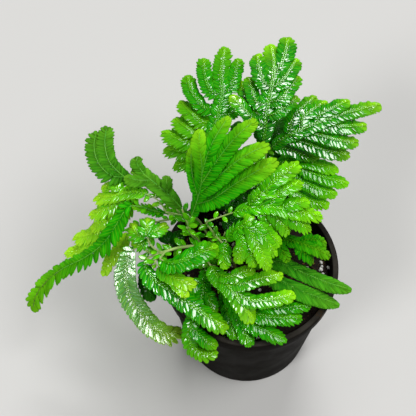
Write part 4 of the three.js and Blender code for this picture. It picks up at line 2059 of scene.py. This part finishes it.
# A spray's brightness is partly its own tone and partly painted light: sprays that lie in shade or
# face away from the lamps are set brighter.
SPRAYS: tuple[Spray, ...] = (
    Spray("centre", Look.MATTE, taper=1.4, shown=Shown.BACK, young=(0.0, 1.0), pitch=0.95,
          leaf_width=1.6, lean=46.0, untidy=2.0, ripening=4.0, branches=(
        Branch(4.8, bare=5, route=((187, 227, 70), (195, 207, 78), (201, 185, 86), (202, 165, 91),
            (199, 146, 95), (200, 127, 96))),
        Branch(3.0, start=0.36, route=((193, 178, 86), (191, 162, 88), (192, 146, 89))),
        Branch(4.8, start=0.6, route=((209, 150, 94), (219, 131, 96), (230, 115, 96))),
        Branch(5.7, start=0.5, route=((214, 165, 92), (227, 147, 95), (241, 132, 97),
            (258, 118, 97))),
        Branch(6.3, start=0.4, route=((216, 179, 89), (233, 164, 93), (252, 152, 95),
            (271, 143, 95))),
        Branch(6.7, start=0.28, route=((213, 199, 85), (235, 184, 89), (257, 171, 91),
            (279, 158, 91))),
    )),
    Spray("north", Look.WET, young=(0.0, 0.9), pitch=0.95, leaf_width=1.75, ripening=6.0,
          branches=(
        Branch(6.4, bare=2, route=((262, 150, 78), (265, 130, 82), (267, 110, 85), (271, 90, 87),
            (274, 68, 88), (271, 42, 86))),
        Branch(6.4, start=0.64, route=((281, 64, 88), (286, 50, 88), (288, 35, 86))),
        Branch(5.3, start=0.5, route=((264, 82, 88), (259, 68, 88), (258, 52, 86))),
        Branch(5.5, start=0.5, route=((281, 82, 88), (290, 70, 88), (298, 57, 86))),
        Branch(5.1, start=0.38, route=((279, 100, 87), (289, 88, 87), (299, 74, 85))),
        Branch(4.6, start=0.37, route=((258, 103, 86), (252, 90, 86), (249, 75, 84))),
        Branch(4.4, start=0.27, route=((277, 113, 86), (287, 105, 86), (298, 95, 84))),
        Branch(4.6, start=0.27, route=((255, 112, 84), (247, 97, 84), (241, 80, 82))),
        Branch(4.8, start=0.17, route=((256, 122, 83.5), (244, 109, 86), (230, 94, 87))),
    )),
    Spray("north_west", Look.FRINGED, young=(0.0, 0.7), pitch=1.05, leaf_width=1.8, bright=0.0,
          ripening=6.0, branches=(
        Branch(5.9, bare=2, route=((206, 166, 73), (211, 142, 78), (217, 120, 82), (222, 96, 84),
            (221, 70, 84), (226, 45, 82))),
        Branch(4.8, start=0.55, route=((229, 90, 84), (235, 74, 84), (239, 57, 82))),
        Branch(5.3, start=0.52, route=((212, 92, 84), (205, 76, 84), (204, 56, 82))),
        Branch(5.3, start=0.42, route=((206, 108, 82), (196, 98, 82), (190, 87, 81),
            (188, 73, 79))),
        Branch(4.4, start=0.36, route=((229, 114, 82), (238, 108, 81), (245, 99, 79))),
        Branch(6.2, start=0.33, ripe=0.25, route=((204, 122, 80), (193, 114, 80), (180, 99, 77))),
        Branch(6.6, start=0.25, ripe=0.25, route=((199, 134, 78), (187, 127, 78), (174, 116, 75))),
        Branch(6.8, start=0.18, ripe=0.25, route=((195, 143, 76), (180, 139, 76), (162, 129, 73))),
        Branch(6.8, start=0.11, ripe=0.25, route=((193, 152, 74), (179, 150, 73), (163, 147, 70))),
        Branch(6.2, start=0.04, ripe=0.25, route=((194, 163, 72), (184, 163, 71), (171, 165, 68))),
    )),
    Spray("east", Look.WET, young=(0.0, 0.9), pitch=0.95, leaf_width=1.75, ripening=6.0, branches=(
        Branch(5.7, bare=2, route=((266, 152, 73), (284, 138, 77), (307, 127, 79), (335, 116, 79),
            (360, 109, 77), (382, 103, 74))),
        Branch(5.3, start=0.42, route=((320, 115, 80), (334, 107, 80), (350, 99, 78))),
        Branch(5.1, start=0.3, route=((303, 118, 80), (314, 109, 80), (328, 100, 78))),
        Branch(4.6, start=0.2, route=((293, 118, 80), (304, 106, 80), (317, 95, 78))),
        Branch(5.7, start=0.4, route=((329, 125, 78), (348, 126, 77), (368, 124, 74))),
        Branch(5.5, start=0.28, route=((316, 134, 77), (338, 140, 76), (360, 141, 73))),
        Branch(5.5, start=0.17, route=((303, 142, 75), (328, 151, 73), (352, 153, 70))),
        Branch(4.8, start=0.06, route=((287, 149, 73), (304, 154, 71), (321, 154, 69))),
    )),
    Spray("east_low", Look.FRESH, young=(0.1, 0.95), pitch=0.95, leaf_width=1.75, bright=0.85,
          ripening=6.0, branches=(
        Branch(5.5, bare=2, route=((263, 168, 64), (285, 162, 67), (305, 161, 68), (322, 165, 67),
            (340, 169, 64))),
        Branch(4.4, start=0.28, route=((295, 156, 68), (307, 153, 66))),
        Branch(5.3, start=0.44, route=((306, 169, 66.5), (328, 178, 64.5), (350, 183, 61.5))),
        Branch(5.3, start=0.3, route=((298, 177, 64.5), (317, 188, 62.5), (339, 193, 59.5))),
        Branch(5.1, start=0.2, route=((288, 184, 62.5), (308, 199, 59.5), (331, 204, 56.5))),
    )),
    Spray("right", Look.FRINGED, young=(0.15, 1.0), pitch=1.3, leaf_width=1.85, lean=44.0,
          ripening=3.0, branches=(
        Branch(6.2, bare=9, route=((206, 222, 66), (235, 212, 71), (262, 206, 74), (290, 210, 73),
            (325, 216, 67))),
        Branch(6.2, start=0.46, route=((268, 188, 77), (284, 173, 78), (300, 161, 76))),
        Branch(5.7, start=0.52, route=((278, 194, 76), (290, 186, 76), (303, 180, 74))),
        Branch(5.4, start=0.6, route=((292, 204, 74), (310, 199, 71))),
        Branch(5.2, start=0.36, route=((258, 196, 76), (272, 191, 76), (285, 190, 75))),
        Branch(5.9, start=0.6, route=((291, 217, 71), (301, 223, 69), (313, 228, 65))),
        Branch(5.9, start=0.52, route=((276, 215, 72), (284, 225, 70), (290, 236, 66))),
        Branch(5.4, start=0.42, route=((265, 214, 72), (272, 224, 70), (278, 234, 66))),
    )),
    Spray("middle", Look.FRINGED, young=(0.1, 1.0), pitch=1.3, leaf_width=1.85, lean=44.0,
          ripening=3.0, branches=(
        Branch(5.2, bare=2, route=((224, 245, 64), (234, 231, 70), (246, 228, 73), (258, 246, 72),
            (271, 272, 66))),
        Branch(4.6, start=0.3, route=((242, 241, 72), (240, 252, 70), (238, 266, 66))),
        Branch(4.2, start=0.55, route=((252, 254, 70), (255, 269, 66))),
        Branch(4.8, start=0.42, route=((260, 234, 73), (269, 244, 71), (278, 257, 67))),
        Branch(4.6, start=0.33, route=((260, 227, 73), (271, 235, 71), (283, 245, 67))),
        Branch(3.6, start=0.25, route=((247, 221, 74), (247, 213, 73))),
        Branch(4.8, start=0.05, route=((224, 254, 66), (226, 271, 63))),
    )),
    Spray("right_low", Look.PLAIN, young=(0.0, 0.6), pitch=1.2, leaf_width=1.85, lean=44.0,
          bright=0.25, ripening=3.0, branches=(
        Branch(4.8, bare=2, route=((266, 242, 56), (282, 240, 60), (300, 243, 62), (316, 249, 61),
            (332, 256, 57))),
        Branch(4.4, start=0.5, route=((307, 240, 62), (317, 240, 61), (328, 243, 58))),
        Branch(4.2, start=0.5, route=((302, 251, 61), (308, 256, 60), (315, 262, 56))),
        Branch(4.2, start=0.22, route=((281, 247, 61.5), (285, 255, 61.5), (289, 263, 60))),
    )),
    Spray("south_east", Look.DULL, taper=1.6, shown=Shown.BACK, young=(0.0, 0.3), pitch=0.75,
          leaf_width=1.7, lean=32.0, untidy=2.0, bright=0.75, branches=(
        Branch(5.2, bare=2, route=((258, 258, 52), (280, 263, 55.5), (302, 272, 56),
            (326, 282, 54.5), (353, 290, 51))),
        Branch(5.8, start=0.1, route=((276, 276, 55), (297, 289, 55.5), (318, 297, 53.5),
            (341, 305, 50))),
    )),
    Spray("front", Look.WET, young=(0.1, 1.0), pitch=1.05, leaf_width=1.8, bright=1.0, ripening=5.0,
          branches=(
        Branch(6.4, bare=2, route=((208, 262, 57), (217, 275, 60), (230, 287, 62), (244, 306, 60),
            (256, 324, 55))),
        Branch(4.2, start=0.22, route=((229, 277, 63), (242, 272, 63), (256, 269, 61))),
        Branch(4.8, start=0.34, route=((240, 284, 63), (258, 279, 62), (284, 273, 59))),
        Branch(5.1, start=0.52, route=((250, 300, 61), (272, 299, 60), (296, 293, 57))),
    )),
    Spray("front_low", Look.FRINGED, young=(0.0, 0.2), pitch=1.1, leaf_width=1.85, lean=44.0,
          bright=0.2, ripening=5.0, branches=(
        Branch(5.7, bare=2, route=((220, 286, 49), (238, 304, 54), (260, 315, 55.5),
            (282, 317, 54.5), (304, 317, 52.5))),
        Branch(4.4, start=0.42, route=((272, 308, 55.5), (291, 307, 54.5), (312, 305, 52.5))),
        Branch(5.5, start=0.28, route=((251, 323, 54), (268, 332, 52.5), (288, 341, 50.5))),
        Branch(5.5, start=0.14, route=((239, 318, 53), (245, 332, 52), (251, 348, 50.5))),
        Branch(4.8, start=0.08, route=((229, 316, 52), (236, 341, 50))),
    )),
    Spray("west_pair", Look.DULL, shown=Shown.BACK, young=(0.1, 0.4), pitch=1.25, leaf_width=1.5,
          lean=54.0, untidy=2.0, bright=0.35, branches=(
        Branch(5.8, bare=2, route=((146, 186, 64), (128, 179, 66.5), (111, 164, 69), (105, 146, 69),
            (107, 124, 67))),
        Branch(6.2, start=0.24, route=((112, 176, 68.5), (99, 164, 69), (94, 147, 68.5),
            (97, 129, 66))),
    )),
    Spray("west_top", Look.DULL, shown=Shown.BACK, young=(0.2, 0.6), pitch=0.95, leaf_width=1.5,
          lean=36.0, untidy=2.0, bright=0.45, branches=(
        Branch(5.3, route=((182, 209, 68), (170, 196, 71), (156, 184, 72), (142, 173, 71.5),
            (132, 167, 70))),
        Branch(3.4, start=0.3, leaf_share=0.75, route=((167, 187, 73), (166, 174, 72))),
        Branch(3.8, start=0.72, route=((137, 164, 71), (138, 155, 68))),
        Branch(4.2, start=0.6, route=((136, 180, 72), (124, 175, 71))),
    )),
    Spray("west_pale", Look.PALE, young=(0.15, 1.0), pitch=1.2, lean=44.0, bright=1.0, ripening=2.5,
          branches=(
        Branch(5.4, bare=8, route=((166, 212, 66.5), (160, 202, 69), (149, 195, 70),
            (131, 192, 68.5), (110, 196, 65), (92, 198, 61))),
        Branch(5, start=0.62, route=((116, 187, 67), (100, 186, 63))),
        Branch(6.4, start=0.6, route=((117, 202, 64), (103, 210, 61), (88, 212, 56))),
        Branch(6.6, start=0.52, route=((120, 207, 62), (106, 219, 58), (89, 227, 52))),
        Branch(6.8, start=0.45, route=((119, 214, 59), (100, 228, 53), (85, 235, 48),
            (71, 236, 44))),
        Branch(6.4, start=0.4, route=((118, 220, 56), (99, 238, 48), (81, 249, 42), (63, 252, 38))),
    )),
    Spray("west_long", Look.MATTE, shown=Shown.BACK, young=(0.0, 0.6), pitch=1.35, leaf_width=1.75,
          lean=46.0, untidy=4.0, bright=0.45, branches=(
        Branch(6.4, bare=12, route=((168, 214.5, 62), (156, 211, 64.5), (143, 207, 67),
            (129, 206, 68), (118, 222, 66.5), (104, 243, 62), (84, 258, 56), (62, 269, 50),
            (44, 284, 44), (34, 300, 39), (34, 314, 35))),
        Branch(3.6, start=0.01, leaf_share=0.6, route=((154, 211, 64.6), (140, 207, 66.6),
            (131, 206, 67.4))),
    )),
    # west_under's leaves are set young, pale and bright as painted light, lifting them out of the
    # shade of west_long.
    Spray("west_under", Look.PALE, young=(0.9, 1.0), pitch=1.5, leaf_width=2.1, lean=46.0,
          untidy=5.0, bright=1.0, branches=(
        Branch(4.8, bare=2, route=((132, 228, 52), (121, 244, 49), (110, 260, 45), (101, 276, 40))),
    )),
    Spray("long_left", Look.SOAKED, young=(0.0, 1.0), pitch=1.3, leaf_width=2.1, untidy=2.5,
          bright=0.8, ripening=4.0, branches=(
        Branch(7, bare=2, route=((140, 246, 60.5), (132, 251, 61), (127, 264, 59.5),
            (126, 280, 56.5), (130, 297, 52.5), (139, 312, 48.5), (151, 326, 44.5),
            (166, 334, 41.5), (184, 331, 39))),
    )),
    Spray("long_right", Look.WET, young=(0.0, 0.6), pitch=1.25, leaf_width=2.0, untidy=5.0,
          bright=0.8, ripening=7.0, branches=(
        Branch(6.8, bare=2, route=((149, 257, 60), (145, 265, 60.5), (152, 277, 61), (170, 290, 60),
            (190, 304, 58), (210, 318, 56), (230, 330, 53))),
    )),
    Spray("west_centre", Look.PALE, young=(0.0, 0.9), pitch=1.1, leaf_width=1.8, lean=44.0,
          bright=0.45, ripening=2.5, branches=(
        Branch(5.6, bare=2, route=((150, 244, 63), (147, 236, 65), (147, 226, 65.5),
            (149, 216, 64))),
        Branch(4.8, start=0.3, route=((155, 231, 65.5), (168, 222, 64))),
        Branch(5.8, start=0.25, route=((139, 235, 64), (131, 221, 63))),
        Branch(4.6, start=0.08, route=((141, 244, 62), (131, 239, 61))),
    )),
    Spray("south_west", Look.FRESH, young=(0.0, 1.0), leaf_width=2.4, bright=0.4, ripening=7.0,
          branches=(
        Branch(7, bare=2, route=((160, 259, 63.5), (170, 263, 66.5), (184, 260, 68.5),
            (201, 252, 69), (220, 245, 67))),
    )),
    Spray("south_west_low", Look.PALE, young=(0.05, 1.0), pitch=1.4, leaf_width=2.2, lean=44.0,
          untidy=4.0, bright=0.9, branches=(
        Branch(5.4, bare=2, route=((155, 263, 61.5), (165, 272, 63.3), (182, 281, 63.8),
            (198, 285, 62))),
        Branch(4.4, start=0.4, route=((180, 287, 63.2), (188, 298, 61.5))),
    )),
    Spray("curl", Look.FRESH, young=(0.0, 0.7), bright=0.15, ripening=4.0, branches=(
        Branch(5.0, bare=2, route=((205, 266, 50), (204, 280, 53), (202, 297, 54), (196, 313, 54),
            (190, 329, 52.5), (191, 344, 49.5), (202, 353, 47), (219, 353, 47.5))),
        Branch(4.6, start=0.62, route=((197, 333, 52), (207, 341, 50.5), (219, 346, 49))),
        Branch(4.6, start=0.2, route=((194, 286, 54), (186, 300, 52.5))),
        Branch(4.6, start=0.3, route=((208, 296, 54.5), (214, 317, 53))),
    )),
    Spray("back_low_left", Look.OLD, branches=(
        Branch(5.6, bare=2, route=((237, 178, 61), (228, 162, 64), (219, 140, 66), (217, 112, 63))),
        Branch(5, start=0.45, route=((208, 134, 65), (200, 112, 62))),
        Branch(5, start=0.25, route=((209, 155, 64), (191, 146, 61))),
        Branch(5, start=0.4, route=((232, 142, 66), (240, 120, 63))),
    )),
    Spray("back_low_right", Look.OLD, branches=(
        Branch(5.6, bare=2, route=((262, 188, 54), (268, 165, 60), (275, 138, 64), (282, 108, 61))),
        Branch(4.8, start=0.4, route=((262, 135, 64), (258, 108, 61))),
        Branch(4.8, start=0.5, route=((294, 128, 63), (312, 112, 60))),
        Branch(4.8, start=0.3, route=((294, 150, 62), (318, 138, 59))),
    )),
    Spray("centre_low", Look.OLD, branches=(
        Branch(6, bare=2, route=((223, 238, 56.5), (229, 224, 60), (241, 206, 63), (261, 192, 64),
            (279, 184, 61))),
        Branch(5, start=0.35, route=((231, 202, 64), (238, 187, 62))),
        Branch(5, start=0.5, route=((258, 206, 62), (276, 201, 59))),
    )),
    Spray("low_back_left", Look.OLD, branches=(
        Branch(5.4, bare=2, route=((229, 216, 49), (221, 202, 52), (212, 189, 53), (205, 178, 52))),
        Branch(4.6, start=0.3, route=((214, 202, 52.5), (204, 195, 51.5))),
        Branch(4.6, start=0.35, route=((224, 194, 53), (229, 181, 52))),
    )),
    Spray("low_back_right", Look.OLD, branches=(
        Branch(5.4, bare=2, route=((264, 216, 48), (272, 202, 51), (283, 189, 52), (296, 179, 51))),
        Branch(4.6, start=0.3, route=((269, 195, 52), (270, 180, 51))),
        Branch(4.6, start=0.35, route=((287, 198, 51.5), (300, 196, 50.5))),
    )),
    Spray("shade_west", Look.OLD, branches=(
        Branch(5.4, bare=2, route=((172, 250, 54), (168, 241, 56), (163, 229, 56))),
        Branch(4.6, start=0.2, route=((175, 240, 56), (181, 230, 55.5))),
    )),
    Spray("shade_south_west", Look.OLD, branches=(
        Branch(5.4, bare=2, route=((154, 261, 54.5), (148, 272, 55.5), (147, 286, 53),
            (155, 302, 50))),
    )),
)

TRUNKS: tuple[Trunk, ...] = (
    Trunk(
        name="centre", root=(-9, 1), route=((197, 240, 53), (191, 233, 62)),
        carries={"centre": 1, "west_top": 0.8},
    ),
    Trunk(
        name="west", root=(-11, 6), route=((199, 221, 50), (187, 217, 57)),
        carries={"west_pale": 1, "west_pair": 0.9, "west_long": 1, "west_under": 0.7},
    ),
    Trunk(
        name="south_west", root=(-12, -4),
        route=((202, 257, 49), (196, 247, 55), (183, 247, 58), (170, 250, 59), (159, 254, 59)),
        carries={
            "shade_west": 0.7, "shade_south_west": 0.85, "south_west": 0.86, "south_west_low": 0.96,
            "long_right": 1, "long_left": 1, "west_centre": 0.94,
        },
    ),
    Trunk(
        name="north", root=(-3, 9), route=((234, 204, 53), (242, 188, 58), (246, 176, 64)),
        carries={"north": 1, "north_west": 0.85, "back_low_left": 0.6, "low_back_left": 0.15},
    ),
    Trunk(
        name="east", root=(4, 7), route=((258, 204, 52), (261, 194, 57), (264, 176, 63)),
        carries={"east": 1, "east_low": 0.8, "back_low_right": 0.5, "low_back_right": 0.12},
    ),
    Trunk(
        name="right", root=(-5, 1), route=((221, 247, 51), (215, 236, 58)),
        carries={"right": 1, "middle": 0.9, "centre_low": 0.6},
    ),
    Trunk(
        name="south_east", root=(1, -1), route=((254, 258, 50),),
        carries={"right_low": 1, "south_east": 0.9},
    ),
    Trunk(
        name="front", root=(-7, -6), route=((217, 268, 48), (212, 266, 53)),
        carries={"front": 1, "front_low": 0.5, "curl": 0.6},
    ),
)


# Floor, lights and camera


@dataclass(frozen=True)
class Daylight:
    """Even light from one side that reaches the whole floor.

    Attributes:
        name: Its name.
        toward: Direction that it comes from.
        strength: Its power on each square metre, in watts.
        spread: How wide it looks, in degrees.
    """

    name: str
    toward: tuple[float, float, float]
    strength: float
    spread: float

    def build(self) -> None:
        """Hang the light."""
        data = bpy.data.lights.new(self.name, "SUN")
        data.energy = self.strength
        data.angle = math.radians(self.spread)
        turn = Vector(self.toward).to_track_quat("Z", "Y")
        shown(self.name, data).rotation_euler = turn.to_euler()


@dataclass(frozen=True)
class Stage:
    """The pale floor, the soft lights and the camera at the photograph's place."""

    floor_size: float = 3000.0
    sensor: float = 36.0
    clip: float = 0.01
    daylight: tuple[Daylight, ...] = (
        Daylight("window", (0.1, 0.62, 0.78), 1.8, 26.0),
        Daylight("skylight", (0.42, -0.16, 0.89), 1.65, 33.0),
        Daylight("room", (-0.55, -0.5, 0.67), 1.1, 18.0),
    )
    sky: Colour = colour(1.0, 1.0, 1.0)
    sky_strength: float = 0.07

    def build(self, paper: Material) -> None:
        """Build the stage.

        Args:
            paper: Material of the floor.
        """
        bm = bmesh.new()
        bmesh.ops.create_grid(bm, x_segments=1, y_segments=1, size=self.floor_size * METRES / 2)
        mesh = stored("floor", bm)
        mesh.materials.append(paper)
        floor = shown("floor", mesh)
        for side in self.daylight:
            side.build()
        world = bpy.data.worlds.new("studio")
        world.use_nodes = True
        backdrop = world.node_tree.nodes["Background"]
        backdrop.inputs["Color"].default_value = self.sky
        backdrop.inputs["Strength"].default_value = self.sky_strength
        bpy.context.scene.world = world
        bpy.context.scene.view_settings.view_transform = "Standard"

    def set_camera(self) -> None:
        """Put the camera where the photograph was taken from."""
        data = bpy.data.cameras.new("camera")
        data.sensor_width = self.sensor
        data.lens = self.sensor * SIGHT.focal_pixels / SIGHT.picture_pixels
        data.clip_start = self.clip
        camera = shown("camera", data)
        camera.location = SIGHT.eye() * METRES
        camera.rotation_euler = (math.radians(90.0 - SIGHT.elevation), 0.0, 0.0)
        bpy.context.scene.camera = camera


def main() -> None:
    """Build the plant, its pot and the studio."""
    logging.basicConfig(level=logging.INFO, format="%(name)s: %(message)s")
    stage = Stage()
    stage.set_camera()
    stage.build(FLOOR_PAPER.material())

    pot = Pot()
    pot.build(PotFinish().material())
    bed = CompostBed(pot)
    bed.build_bed(COMPOST_BED.material())
    bed.build_crumbs(COMPOST_CRUMB.material())
    bed.build_grains(PERLITE.material())
    bed.build_fibres(FIBRE.material())

    bank = LeafBank()
    stalk = STALK.material()
    rib = RIB.material()
    kinds = dict.fromkeys(look.finish for look in Look)
    leaves = {finish: finish.material() for finish in kinds}
    sprays = {spray.name: spray for spray in SPRAYS}
    for trunk in TRUNKS:
        trunk.build(bed, sprays, bank, stalk, leaves[FRESH_LEAF])
    for spray in SPRAYS:
        core = stalk if spray.shown is Shown.FACE else rib
        spray.build(bank, leaves[spray.look.finish], core)


if __name__ == "__main__":
    main()
